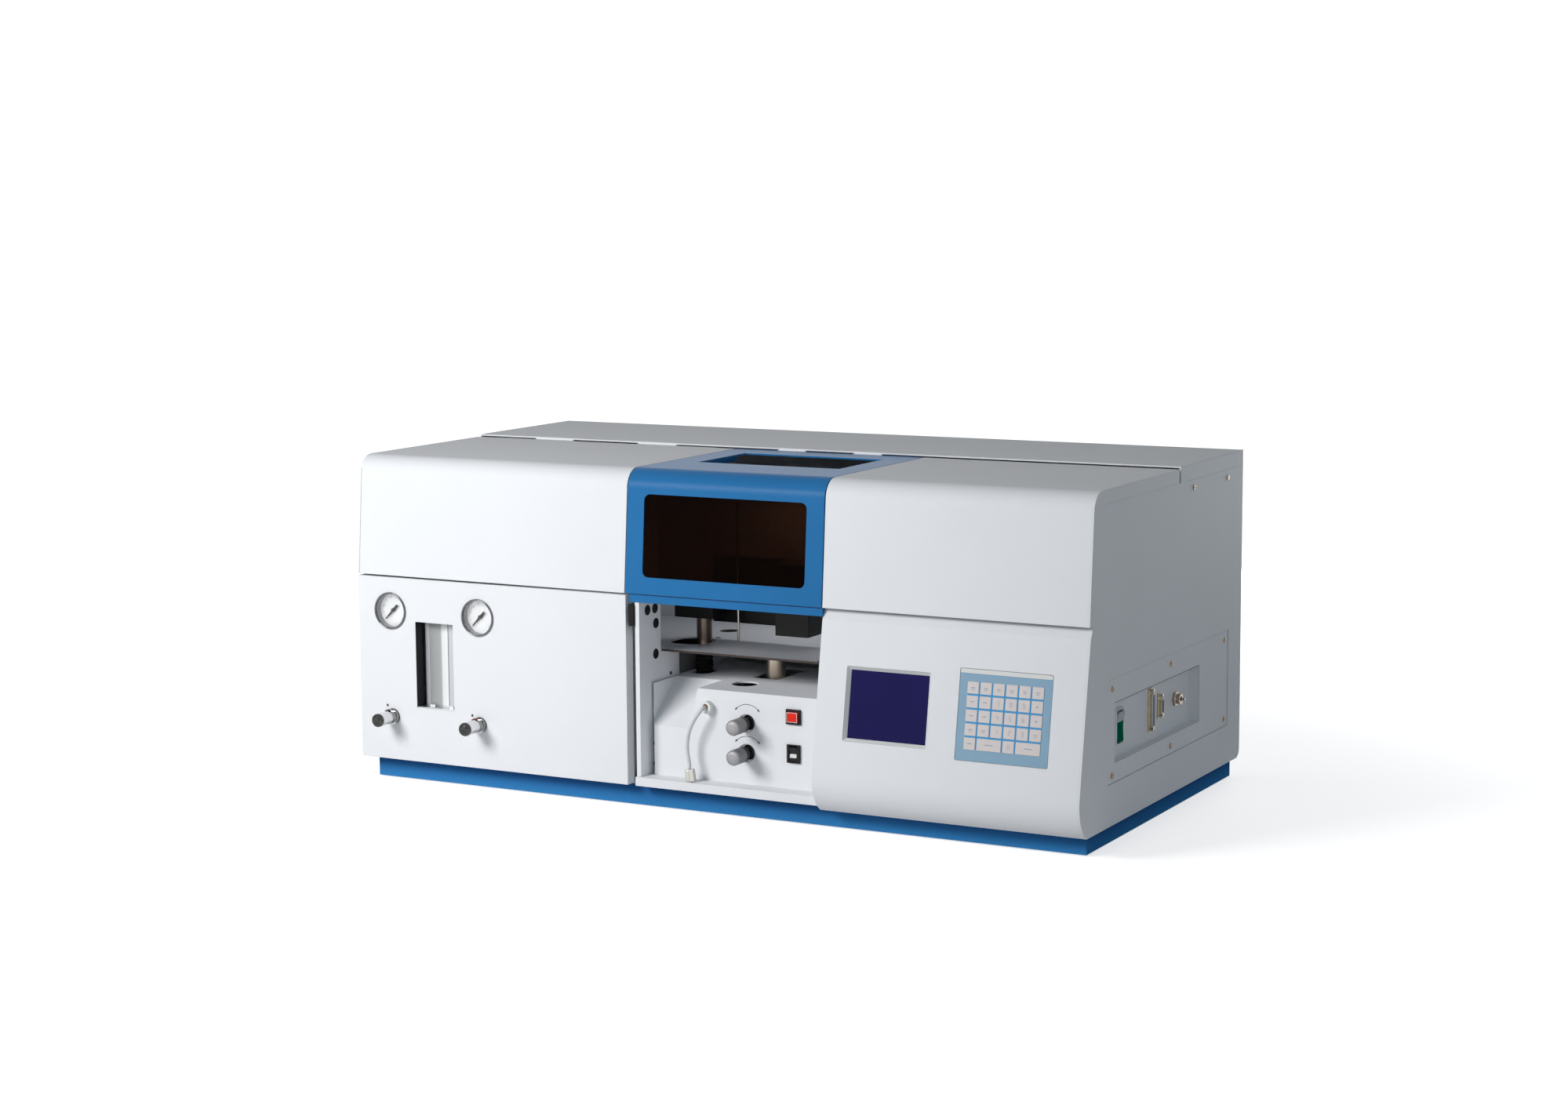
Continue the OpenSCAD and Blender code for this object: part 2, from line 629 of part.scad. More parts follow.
// Room cut from the burner cover's left front corner, above a ramp
module ramp_room(inset) {
  low = burner_top - ramp_h - inset;
  edge = hood_x - 62.5 + inset;
  left = cover_left + sheet - inset;
  rise = ramp_h / ramp_d;
  intersection() {
    along_y(cover_y - 1, cover_y + 90)
      polygon([[left, low - 30], [edge - 30 * ramp_lean, low - 30], [edge + 62 * ramp_lean, low + 62],
        [left, low + 62]]);
    along_x(wall_left, wall_right)
      polygon([[cover_y - 1, low - rise], [cover_y + 82, low + 82 * rise], [cover_y - 1, low + 82 * rise]]);
  }
}
module burner_cover() {
  color([0.93, 0.94, 0.95]) difference() {
    difference() {
      along_z(floor_top, burner_top) cover_plan(0);
      ramp_room(0);
    }
    difference() {
      along_z(floor_top - 1, burner_top - sheet) cover_plan(sheet);
      ramp_room(sheet);
    }
    along_z(burner_top - 5, burner_top + 1) {
      round_rect(tube_x - 24, tube_x + 13.5, tube_y - 19.5, tube_y + 62, 4);
      round_rect(tube_x - 26, tube_x + 7, cover_y + 35, cover_y + 68, 16);
      round_rect(neck_x - 13, neck_x + 13, neck_y - 19, neck_y + 19, 12);
    }
    for (z = [high_knob_z, low_knob_z]) rod_y(cover_y - 1, cover_y + 5, knob_x, z, 14);
    box(switch_x - 8.7, switch_x + 8.7, cover_y - 1, cover_y + 5, button_z - 7.6, button_z + 7.6);
    box(switch_x - 7, switch_x + 7, cover_y - 1, cover_y + 5, rocker_z - 11, rocker_z + 11);
    rod_y(cover_y - 1, cover_y + 5, inlet_x, inlet_z, 8);
  }
}
module front_ledge() {
  left = post_left;
  right = hood_right;
  color([0.93, 0.94, 0.95]) difference() {
    box(left, right, front_y, cover_y, floor_top, floor_top + 11);
    box(left - 1, right + 1, front_y + sheet, cover_y + 1, floor_top - 1, floor_top + 11 - sheet);
    box(left - 1, cover_left, front_y + 3.5, cover_y + 1, floor_top - 1, floor_top + 12);
  }
}
module at_gauges() {
  for (k = [0, 1]) translate([gauge_x + k * gauge_step, 0, gauge_z]) children();
}
module gauge_cases() {
  color([0.2, 0.2, 0.22]) at_gauges() difference() {
    union() {
      rod_y(front_y - 1.5, front_y, 0, 0, gauge_d + 2.2);
      rod_y(front_y - weld, front_y + 38, 0, 0, gauge_d);
    }
    rod_y(front_y - 4, dial_y + 1, 0, 0, gauge_d - 2);
    rod_y(dial_y, front_y + 30, 0, 0, 4);
  }
}
module gauge_dials() {
  color([0.96, 0.96, 0.96]) at_gauges() difference() {
    rod_y(dial_y, dial_y + 1, 0, 0, gauge_d - 2);
    rod_y(dial_y - 1, dial_y + 2, 0, 0, 4);
  }
}
module gauge_lenses() {
  color([0.9, 0.95, 0.97, 0.3]) at_gauges() rod_y(front_y - 0.5, front_y + 1, 0, 0, gauge_d - 2);
}
// Pointer with its tip at the zero mark, lower left
module pointer() {
  reach = gauge_d / 2 - 6;
  color([0.08, 0.08, 0.09]) {
    translate([0, dial_y - 2, 0]) rotate([90, 0, 0]) rotate(225) linear_extrude(0.8)
      polygon([[-9, -1.8], [0, -1.6], [reach, -0.4], [reach, 0.4], [0, 1.6], [-9, 1.8]]);
    rod_y(dial_y - 4, dial_y - 2, 0, 0, 5);
    rod_y(dial_y - 2.5, dial_y + 10, 0, 0, 3.8);
  }
}
module air_pointer() {
  translate([gauge_x, 0, gauge_z]) pointer();
}
module fuel_pointer() {
  translate([gauge_x + gauge_step, 0, gauge_z]) pointer();
}
module flowmeter_block() {
  color([0.88, 0.9, 0.92]) difference() {
    union() {
      box(flow_x - flow_w / 2 - 2, flow_x + flow_w / 2 + 2, flow_front, flow_front + 24,
        flow_z - 12, flow_z + flow_h + 12);
      box(flow_x - flow_w / 2 - 8, flow_x + flow_w / 2 + 8, flow_front + 24, flow_front + 26,
        flow_z - 14, flow_z + flow_h + 14);
      for (z = [flow_z - 12, flow_z + flow_h + 6])
        box(flow_x - flow_w / 2, flow_x + flow_w / 2, front_y + gas_panel_t, flow_front + 1, z, z + 6);
    }
    rod_z(flow_z - 4, flow_z + flow_h + 4, flow_x + 2, flow_front + 10, flow_bore);
  }
}
module flow_float() {
  float_x = flow_x + 2;
  float_y = flow_front + 10;
  color([0.75, 0.1, 0.08]) translate([float_x, float_y, flow_z - 3.5]) rotate_extrude()
    polygon([[0, 0], [2.6, 3], [4.2, 5], [4.2, 9], [0, 9]]);
}
module at_valves() {
  for (k = [0, 1]) translate([gauge_x + k * gauge_step, 0, valve_z]) children();
}
module valve_bodies() {
  color([0.8, 0.8, 0.82]) at_valves() difference() {
    union() {
      rod_y(front_y - 4.5, front_y, 0, 0, 21.2);
      rod_y(front_y - weld, front_y + 45, 0, 0, 14);
      rod_y(front_y + gas_panel_t, front_y + 45, 0, 0, 22);
    }
    rod_y(front_y - 8, front_y + 30, 0, 0, 6 + 2 * run_gap);
  }
}
module valve_knob() {
  tip = front_y - knob_reach;
  color([0.82, 0.82, 0.84]) difference() {
    union() {
      translate([0, tip, 0]) rotate([-90, 0, 0]) rotate_extrude()
        polygon([[0, 0], [4, 0.3], [6.6, 1.2], [8.1, 2.6], [8.7, 4.2], [8.7, knob_reach - 5],
          [0, knob_reach - 5]]);
      rod_y(tip + 14, front_y + 20, 0, 0, 6);
    }
    rod_z(7.2, 10, 0, front_y - 8.5, 5);
  }
}
module air_valve_knob() {
  translate([gauge_x, 0, valve_z]) valve_knob();
}
module fuel_valve_knob() {
  translate([gauge_x + gauge_step, 0, valve_z]) valve_knob();
}
module knob_collars() {
  color([0.25, 0.25, 0.27]) for (z = [high_knob_z, low_knob_z]) difference() {
    union() {
      rod_y(cover_y - 1.5, cover_y, knob_x, z, 22.8);
      rod_y(cover_y - weld, cover_y + 12, knob_x, z, 14);
    }
    rod_y(cover_y - 2, cover_y + 13, knob_x, z, shaft_d + 2 * run_gap);
  }
}
module burner_knob(z, shaft_end) {
  translate([knob_x, cover_y - 38, z]) rotate([-90, 0, 0]) rotate_extrude()
    polygon([[0, 0], [5, 0.3], [7.8, 1.2], [9.2, 2.6], [9.6, 4], [9.6, 28], [6, 29], [6, 36], [0, 36]]);
  rod_y(cover_y - 20, shaft_end, knob_x, z, shaft_d);
}
module height_knob() {
  color([0.6, 0.6, 0.62]) {
    burner_knob(high_knob_z, cover_y + 64);
    translate([knob_x, 0, high_knob_z]) along_y(cover_y + 40, cover_y + 62) pinion_outline();
  }
}
// Half angle of a pinion tooth at a radius, along its involute
function roll(r) = let (a = acos(min(1, pinion_d / 2 * cos(20) / r))) tan(a) * 180 / PI - a;
function tooth_angle(r) = tooth_half / (pinion_d / 2) * 180 / PI + roll(pinion_d / 2) - roll(r);
module pinion_outline() {
  pitch_r = pinion_d / 2;
  steps = [pitch_r - tooth_root, pitch_r * cos(20), pitch_r, pitch_r + tooth_size / 2, pitch_r + tooth_size];
  last = len(steps) - 1;
  polygon([for (k = [0 : pinion_teeth - 1], j = [-last - 1 : last])
    let (r = j < 0 ? steps[j + last + 1] : steps[last - j], a = k * 360 / pinion_teeth)
    let (b = a + (j < 0 ? -1 : 1) * tooth_angle(r)) r * [cos(b), sin(b)]]);
}
// Rack teeth, in width and height, with a space at the pinion's middle
module rack_outline() {
  tip = rack_x + tooth_root + tooth_size;
  slope = tan(20);
  for (k = [0 : rack_teeth - 1]) translate([0, high_knob_z + (k - (rack_teeth - 1) / 2) * tooth_pitch])
    polygon([[rack_x - 1, -tooth_half - tooth_root * slope], [rack_x, -tooth_half - tooth_root * slope],
      [tip, -tooth_half + tooth_size * slope], [tip, tooth_half - tooth_size * slope],
      [rack_x, tooth_half + tooth_root * slope], [rack_x - 1, tooth_half + tooth_root * slope]]);
}
module depth_knob() {
  color([0.6, 0.6, 0.62]) burner_knob(low_knob_z, cover_y + 112);
}
module switch_frame(z, w, h, hole_w, hole_h) {
  difference() {
    union() {
      box(switch_x - w / 2, switch_x + w / 2, cover_y - 3, cover_y, z - h / 2, z + h / 2);
      box(switch_x - hole_w / 2 - 1.2, switch_x + hole_w / 2 + 1.2, cover_y - 1, cover_y + 18,
        z - hole_h / 2 - 1.2, z + hole_h / 2 + 1.2);
    }
    box(switch_x - hole_w / 2, switch_x + hole_w / 2, cover_y - 4, cover_y + 16,
      z - hole_h / 2, z + hole_h / 2);
  }
}
module switch_frames() {
  color([0.1, 0.1, 0.11]) {
    switch_frame(button_z, 19.6, 18.4, 15, 12.8);
    difference() {
      switch_frame(rocker_z, 17.5, 22.4, 11.6, 19.6);
      rod_x(switch_x - 6.9, switch_x + 6.9, cover_y + 4, rocker_z, 2.2 + 2 * run_gap);
    }
  }
}
module ignition_button() {
  color([0.85, 0.1, 0.08])
    box(switch_x - 7.2, switch_x + 7.2, cover_y - 6, cover_y + 12, button_z - 6.1, button_z + 6.1);
}
module gas_rocker() {
  pivot = cover_y + 4;
  color([0.12, 0.12, 0.13]) union() {
    translate([switch_x - 5.4, pivot, rocker_z]) rotate([90, 0, 90]) linear_extrude(10.8)
      polygon([[5, -5], [-6.5, -9], [-5, 0], [-8, 8.2], [5, 5]]);
    rod_x(switch_x - 6.8, switch_x + 6.8, pivot, rocker_z, 2.2);
  }
}
module sample_inlet() {
  color([0.96, 0.96, 0.95]) difference() {
    union() {
      rod_y(cover_y - 9, cover_y, inlet_x, inlet_z, 15);
      rod_y(cover_y - weld, cover_y + 20, inlet_x, inlet_z, 8);
    }
    rod_y(cover_y + 1, cover_y + 21, inlet_x, inlet_z, 3);
  }
}
// Corner points of one ring across the sample tube
function ring(at, along) =
  let (side = cross(along, [1, 0, 0]), u = side / norm(side), v = cross(along, u))
  [for (k = [0 : ring_sides - 1]) let (a = 360 * k / ring_sides) at + sample_d / 2 * (cos(a) * u + sin(a) * v)];
function unit(v) = v / norm(v);
module sample_tube() {
  last = len(tube_route) - 1;
  heads = [for (i = [0 : last])
    i == 0 ? [0, -1, 0] : i == last ? [0, 0, -1] : unit(tube_route[i + 1] - tube_route[i - 1])];
  points = [for (i = [0 : last]) each ring(tube_route[i], heads[i])];
  sides = [for (i = [0 : last - 1], k = [0 : ring_sides - 1]) let (n = (k + 1) % ring_sides)
    [i * ring_sides + k, i * ring_sides + n, (i + 1) * ring_sides + n, (i + 1) * ring_sides + k]];
  start = [for (k = [0 : ring_sides - 1]) ring_sides - 1 - k];
  end = [for (k = [0 : ring_sides - 1]) last * ring_sides + k];
  color([0.93, 0.94, 0.94]) polyhedron(points, concat([start], sides, [end]));
}
module tube_clip() {
  at = tube_route[len(tube_route) - 1];
  low = floor_top + 11;
  color([0.75, 0.74, 0.72]) {
    box(at[0] - 4, at[0] + 8, at[1] - 3, at[1] + 3, low, at[2]);
    box(at[0] + 4, at[0] + 5.5, at[1] - 1, at[1] + 1, at[2] - 1, at[2] + 8);
  }
}
module burner_carriage() {
  nut_y = cover_y + 70;
  color([0.6, 0.62, 0.65]) difference() {
    union() {
      box(carriage_left, knob_x + 12, carriage_front, carriage_back, plate_z, plate_z + 10);
      box(post_x, post_x + guide_w, guide_y, guide_y + guide_w, plate_z, lift_z + 40);
      box(knob_x - 11, knob_x + 11, nut_y, nut_y + 28, plate_z, low_knob_z + 8);
    }
    rod_y(nut_y - 1, nut_y + 29, knob_x, low_knob_z, shaft_d + 2 * screw_gap);
  }
}
module burner_lift() {
  gap = 0.4;
  chamber_y = tube_y - 30;
  color([0.9, 0.9, 0.88]) difference() {
    union() {
      box(carriage_left, rack_x, chamber_y - 13, guide_y + guide_w + 8, lift_z, lift_z + 8);
      box(neck_x - 13, carriage_left + 1, neck_y - 13, neck_y + 13, lift_z, lift_z + 8);
      rod_x(neck_x - 10, rack_x - 12, chamber_y, lift_z + 16, 26);
      box(rack_x - 8, rack_x, cover_y + 41, tube_y - 15, lift_z - 8, lift_z + 26);
      along_y(cover_y + 41, tube_y - 15) rack_outline();
    }
    box(post_x - gap, post_x + guide_w + gap, guide_y - gap, guide_y + guide_w + gap, lift_z - 20, lift_z + 50);
  }
}
module burner_tubes() {
  tube_top = burner_top + 26;
  color([0.72, 0.7, 0.67]) {
    difference() {
      rod_z(lift_z + 8, tube_top, tube_x, tube_y, tube_d);
      rod_z(lift_z + 14, tube_top + 1, tube_x, tube_y, tube_d - 4);
    }
    rod_z(lift_z + 8, deck_top + 31, neck_x, neck_y, 19.5);
  }
}
module burner_head() {
  low = deck_top + 31;
  color([0.06, 0.06, 0.07]) difference() {
    along_x(neck_x + 20 - head_l, neck_x + 20)
      polygon([[neck_y - 14, low], [neck_y + 14, low], [neck_y + 14, low + 30], [neck_y + 7, low + 38],
        [neck_y - 7, low + 38], [neck_y - 14, low + 30]]);
    box(neck_x + 28 - head_l, neck_x + 12, neck_y - 0.4, neck_y + 0.4, low + 16, low + 39);
  }
}
module igniter_rod() {
  rod_x0 = neck_x + 39;
  rod_y0 = neck_y + 19;
  top = cover_top - 34;
  color([0.7, 0.7, 0.7]) {
    rod_z(deck_top, top, rod_x0, rod_y0, 3);
    box(rod_x0 - 4, rod_x0 + 4, rod_y0 - 4, back_y, top - 6, top);
  }
}
module lens_tubes() {
  snout = hood_x + 10;
  low = deck_top + 17;
  top = beam_z + 24;
  color([0.08, 0.08, 0.09]) {
    difference() {
      union() {
        box(snout, snout + 46, neck_y - 15, neck_y + 25, low, top);
        rod_x(snout + 45, wall_right, neck_y, beam_z, 40);
      }
      rod_x(snout - 1, wall_right + 1, neck_y, beam_z, 28);
    }
    box(neck_x - 3, snout + 1, neck_y + 28, neck_y + 30, low + 4.5, top);
    box(snout, snout + 8, neck_y + 24, neck_y + 30, low + 8, top);
    difference() {
      rod_x(wall_left, wall_left + 8, neck_y, beam_z, 44);
      rod_x(wall_left - 1, wall_left + 9, neck_y, beam_z, 30);
    }
  }
}
module at_lamps() {
  for (k = [0 : lamp_count - 1]) translate([0, neck_y, turret_z]) rotate([k * 360 / lamp_count, 0, 0])
    translate([0, 0, lamp_ring]) children();
}
module lamp_turret() {
  color([0.3, 0.31, 0.33]) difference() {
    union() {
      rod_x(turret_x - 66, turret_x + 66, neck_y, turret_z, axle_d);
      for (x = [turret_x, turret_x + 60]) rod_x(x, x + 6, neck_y, turret_z, 130);
      rod_x(turret_x - 80, turret_x - 66, neck_y, turret_z, 30);
    }
    at_lamps() rod_x(turret_x - 1, turret_x + 67, 0, 0, lamp_d);
  }
}
module cathode_lamps() {
  color([0.85, 0.8, 0.72]) at_lamps() {
    rod_x(turret_x - 10, turret_x + 100, 0, 0, lamp_d);
    rod_x(turret_x + 100, turret_x + 128, 0, 0, 24);
    rod_x(turret_x - 28, turret_x - 10, 0, 0, 28);
  }
}
module turret_stand() {
  color([0.55, 0.57, 0.6]) difference() {
    union() {
      box(turret_x - 64, turret_x - 50, neck_y - 30, neck_y + 30, floor_top, turret_z + 24);
      box(turret_x - 64, turret_x + 10, neck_y - 45, neck_y + 45, floor_top, floor_top + 10);
    }
    rod_x(turret_x - 65, turret_x - 49, neck_y, turret_z, axle_d + 2 * run_gap);
  }
}
// Cast housing, open below, with a beam tube and a rear leg
module monochromator() {
  front = front_y + 62;
  back = rear_y - 73;
  color([0.16, 0.16, 0.17]) difference() {
    union() {
      box(unit_left, unit_right, front, back, unit_z, cover_top - 28);
      box(unit_left, unit_right, back - 20, back, floor_top, unit_z + 1);
      rod_x(wall_right + sheet, unit_left + 1, neck_y, beam_z, 44);
    }
    box(unit_left + cast_t, unit_right - cast_t, front + cast_t, back - 20,
      unit_z - 1, cover_top - 28 - cast_t);
    rod_x(wall_right, unit_left + cast_t + 1, neck_y, beam_z, 28);
  }
}
// Sheet housing, open at the back
module power_unit() {
  left = unit_left + 10;
  right = unit_right - 10;
  top = unit_z - 2;
  front = front_y + 62;
  color([0.5, 0.52, 0.55]) difference() {
    box(left, right, front, front + 238, floor_top, top);
    box(left + sheet, right - sheet, front + sheet, front + 239, floor_top + sheet, top - sheet);
  }
}
module port_shell(y, half_l, shell_l) {
  depth = 5.5;
  rim = 0.7;
  box(pocket_x, pocket_x + 1.5, y - 6.3, y + 6.3, port_z - half_l, port_z + half_l);
  difference() {
    box(pocket_x, pocket_x + depth, y - 4.6, y + 4.6, port_z - shell_l, port_z + shell_l);
    box(pocket_x + depth - 0.8, pocket_x + depth + 1, y - 4.6 + rim, y + 4.6 - rim,
      port_z - shell_l + rim, port_z + shell_l - rim);
  }
}
module data_ports() {
  color([0.82, 0.78, 0.68]) {
    port_shell(wide_port_y, 26.5, 20);
    port_shell(small_port_y, 15.4, 8.6);
  }
}
module toggle_body() {
  color([0.8, 0.8, 0.8]) difference() {
    union() {
      along_x(pocket_x, pocket_x + 3.5) translate([toggle_y, port_z]) circle(d = 19, $fn = 6);
      rod_x(pocket_x, pocket_x + 9, toggle_y, port_z, 13);
    }
    rod_x(pocket_x + 1, pocket_x + 10, toggle_y, port_z, 7);
  }
}
module toggle_lever() {
  color([0.85, 0.85, 0.86]) translate([lever_x, toggle_y, port_z]) {
    rotate([0, 90, 0]) rotate_extrude()
      polygon([[0, -2.6], [1.8, -2.6], [2.8, -1.4], [2.8, 1.4], [1.6, 2.6], [1.5, 3.4], [2, 9], [0, 9]]);
    rod_y(-3.3, 3.3, 0, 0, 2);
  }
}
module power_rocker() {
  color([0.05, 0.45, 0.32]) {
    translate([rocker_pivot_x, switch_y + 9.5, port_z]) rotate([90, 0, 0]) linear_extrude(19)
      polygon([[-1, -6], [3.5, -18], [2.5, 0], [5.5, 18], [-1, 6]]);
    rod_y(switch_y - 12, switch_y + 12, rocker_pivot_x, port_z, 3);
  }
}
base_plinth();
rubber_feet();
floor_plate();
left_side_panel();
right_side_panel();
connector_plate();
case_screws();
rear_panel();
gas_inlets();
rear_top_cover();
lamp_lid();
hinge_pins();
hood();
hood_window();
right_top_cover();
hood_sill();
gas_panel();
display_panel();
lcd_screen();
keypad();
left_wall();
chamber_wall();
power_inlet();
rear_deck();
burner_cover();
front_ledge();
gauge_cases();
gauge_dials();
gauge_lenses();
air_pointer();
fuel_pointer();
flowmeter_block();
flow_float();
valve_bodies();
air_valve_knob();
fuel_valve_knob();
knob_collars();
height_knob();
depth_knob();
switch_frames();
ignition_button();
gas_rocker();
sample_inlet();
sample_tube();
tube_clip();
burner_carriage();
burner_lift();
burner_tubes();
burner_head();
igniter_rod();
lens_tubes();
lamp_turret();
cathode_lamps();
turret_stand();
monochromator();
power_unit();
data_ports();
toggle_body();
toggle_lever();
power_rocker();
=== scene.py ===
import math

import bmesh
import bpy
from mathutils import Matrix, Vector


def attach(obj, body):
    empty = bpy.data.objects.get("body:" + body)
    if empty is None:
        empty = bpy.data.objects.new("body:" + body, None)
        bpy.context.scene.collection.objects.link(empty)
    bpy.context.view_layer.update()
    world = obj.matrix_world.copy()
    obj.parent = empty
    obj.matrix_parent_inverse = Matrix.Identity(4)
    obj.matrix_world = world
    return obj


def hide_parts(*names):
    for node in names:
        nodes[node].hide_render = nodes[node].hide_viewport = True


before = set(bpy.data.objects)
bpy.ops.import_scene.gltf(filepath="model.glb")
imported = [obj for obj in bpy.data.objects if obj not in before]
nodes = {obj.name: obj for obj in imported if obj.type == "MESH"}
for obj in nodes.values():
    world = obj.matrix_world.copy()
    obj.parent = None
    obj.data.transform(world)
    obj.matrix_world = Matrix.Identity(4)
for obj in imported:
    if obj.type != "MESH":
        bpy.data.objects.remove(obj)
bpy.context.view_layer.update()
scene = bpy.context.scene
MM = 0.001

# Main places of the part, in millimetres, as in its source
FRONT = -237.5
COVER = -212.5
GAUGES = (-460.0, -325.0)
GAUGE_Z = 225.0
DIAL = -228.5
VALVE_Z = 86.5
FLOW_Z, FLOW_H = 101.0, 112.0
KNOB_X = 50.5
KNOBS_Z = (117.0, 80.0)
SWITCH_X = 116.0
BUTTON_Z = 130.5
ROCKER_Z = 85.0
FACE_LEAN = math.radians(9.51)
FACE_Y, FACE_Z = -264.84, 75.93
SCREEN = (259.5, 161.0)
POST_HOLES = ((-213.5, 247.5), (-195.5, 247.5), (-193.5, 228.5), (-194.5, 190.0))
KEYPAD = (409.5, 161.0)
POCKET = 497.0
PORT_Z = 137.0
PORTS = (-14.0, 17.0)
PLATE = 509.4
POST = -88.0
DECK = 194.0
NECK = (-69.5, -104.5)

# The part of a noise's range that is used, and the radius of soft edges in metres
NOISE_LOW, NOISE_HIGH = 0.3, 0.7
EDGE = 0.0007

# Room light: its direction of growth, its level and its least level
SKY_SLOPE, SKY_LEVEL, SKY_LEAST = (0.24, -0.1, -0.2), 0.2, 0.02


# ---- camera, as fitted to the photograph
def place_camera():
    """Puts the camera where the photograph was taken from."""
    yaw, pitch, roll = (math.radians(a) for a in (28.23, 7.71, -0.39))
    right = Vector((math.cos(yaw), math.sin(yaw), 0))
    look = Vector((-math.sin(yaw) * math.cos(pitch), math.cos(yaw) * math.cos(pitch), -math.sin(pitch)))
    up = right.cross(look)
    turned = math.cos(roll) * right + math.sin(roll) * up
    upright = -math.sin(roll) * right + math.cos(roll) * up
    data = bpy.data.cameras.new("camera")
    data.sensor_fit = "HORIZONTAL"
    data.sensor_width = 36
    data.lens = 66.55
    data.clip_end = 50
    camera = bpy.data.objects.new("camera", data)
    camera.matrix_world = Matrix((turned, upright, -look)).transposed().to_4x4()
    camera.location = (1.73788, -3.25602, 0.80068)
    scene.collection.objects.link(camera)
    scene.camera = camera


place_camera()


# ---- materials
def node_tree(name):
    """A new material with its node tree and its main shader."""
    mat = bpy.data.materials.new(name)
    mat.use_nodes = True
    tree = mat.node_tree
    return mat, tree, tree.nodes["Principled BSDF"]


def noise(tree, scale, detail=3.0, stretch=(1, 1, 1)):
    """The grey value of a noise in the piece's own space."""
    coord = tree.nodes.new("ShaderNodeTexCoord")
    mapping = tree.nodes.new("ShaderNodeMapping")
    mapping.inputs["Scale"].default_value = stretch
    tex = tree.nodes.new("ShaderNodeTexNoise")
    tex.inputs["Scale"].default_value = scale
    tex.inputs["Detail"].default_value = detail
    tree.links.new(coord.outputs["Object"], mapping.inputs["Vector"])
    tree.links.new(mapping.outputs["Vector"], tex.inputs["Vector"])
    return tex.outputs["Fac"]


def ramp(tree, fac, low, high):
    """A colour between two, led by a noise."""
    node = tree.nodes.new("ShaderNodeValToRGB")
    for element, position, color in zip(node.color_ramp.elements, (NOISE_LOW, NOISE_HIGH), (low, high)):
        element.position = position
        element.color = (*color, 1)
    tree.links.new(fac, node.inputs["Fac"])
    return node.outputs["Color"]


def spread(tree, fac, low, high):
    """A value between two, led by a noise."""
    node = tree.nodes.new("ShaderNodeMapRange")
    for socket, value in (("From Min", NOISE_LOW), ("From Max", NOISE_HIGH), ("To Min", low), ("To Max", high)):
        node.inputs[socket].default_value = value
    tree.links.new(fac, node.inputs["Value"])
    return node.outputs["Result"]


def set_fixed(shader, fixed):
    """Plain values of a shader's sockets; a low specular level suits the white surroundings."""
    for socket, value in {"Specular_IOR_Level": 0.15, **fixed}.items():
        shader.inputs[socket.replace("_", " ")].default_value = value


def finish(name, color, rough, vary=0.03, rough_vary=0.05, patch=6.0, grain=900.0, bump=0.03, stretch=(1, 1, 1),
           **fixed):
    """A surface with broad colour patches, a fine grain in roughness and relief, and soft edges."""
    mat, tree, shader = node_tree(name)
    low = [c * (1 - vary) for c in color]
    high = [min(1, c * (1 + vary)) for c in color]
    tree.links.new(ramp(tree, noise(tree, patch), low, high), shader.inputs["Base Color"])
    fine = noise(tree, grain, 2.0, stretch)
    tree.links.new(spread(tree, fine, max(0, rough - rough_vary), rough + rough_vary), shader.inputs["Roughness"])
    relief = tree.nodes.new("ShaderNodeBump")
    relief.inputs["Strength"].default_value = bump
    relief.inputs["Distance"].default_value = 0.0004
    tree.links.new(fine, relief.inputs["Height"])
    soft = tree.nodes.new("ShaderNodeBevel")
    soft.inputs["Radius"].default_value = EDGE
    soft.samples = 4
    tree.links.new(soft.outputs["Normal"], relief.inputs["Normal"])
    tree.links.new(relief.outputs["Normal"], shader.inputs["Normal"])
    set_fixed(shader, fixed)
    return mat


def banded(name, stops, axis, rough, **fixed):
    """A surface whose colour changes along an axis, through stops of (place in mm, colour)."""
    mat, tree, shader = node_tree(name)
    coord = tree.nodes.new("ShaderNodeTexCoord")
    split = tree.nodes.new("ShaderNodeSeparateXYZ")
    tree.links.new(coord.outputs["Object"], split.inputs["Vector"])
    place = tree.nodes.new("ShaderNodeMapRange")
    first, last = stops[0][0], stops[-1][0]
    place.inputs["From Min"].default_value = first * MM
    place.inputs["From Max"].default_value = last * MM
    tree.links.new(split.outputs[axis], place.inputs["Value"])
    bands = tree.nodes.new("ShaderNodeValToRGB")
    for at, _ in stops[1:-1]:
        bands.color_ramp.elements.new((at - first) / (last - first))
    for element, (_, color) in zip(bands.color_ramp.elements, stops):
        element.color = (*color, 1)
    tree.links.new(place.outputs["Result"], bands.inputs["Fac"])
    tree.links.new(bands.outputs["Color"], shader.inputs["Base Color"])
    tree.links.new(spread(tree, noise(tree, 900), rough * 0.8, rough * 1.2), shader.inputs["Roughness"])
    set_fixed(shader, fixed)
    return mat


white = finish("white_powder_coat", (0.84, 0.85, 0.87), 0.5, 0.012, 0.05, bump=0.05, Specular_IOR_Level=0.05)
panel_grey = finish("grey_powder_coat", (0.6, 0.62, 0.65), 0.5, 0.02, 0.05, bump=0.05, Specular_IOR_Level=0.2)
deck_grey = finish("deck_enamel", (0.5, 0.51, 0.53), 0.2, 0.03, 0.03, bump=0.02)
blue = finish("blue_enamel", (0.026, 0.17, 0.41), 0.3, 0.04, 0.03, bump=0.02, Specular_IOR_Level=0.05)
# Painted shade: the plinth's blue is lighter at the bottom and darker towards its top, next to the body.
base_blue_painted_shade = banded("base_blue_painted_shade", ((4, (0.04, 0.22, 0.5)), (26, (0.02, 0.09, 0.28))), "Z", 0.5,
                   Specular_IOR_Level=0.0)
# Black anodised parts; also used for black strips painted as the shade in the flowmeter's gaps.
black_coat_and_painted_shade = finish("black_anodised_and_painted_shade", (0.012, 0.012, 0.013), 0.42, 0.2, 0.08, bump=0.04, Specular_IOR_Level=0.2)
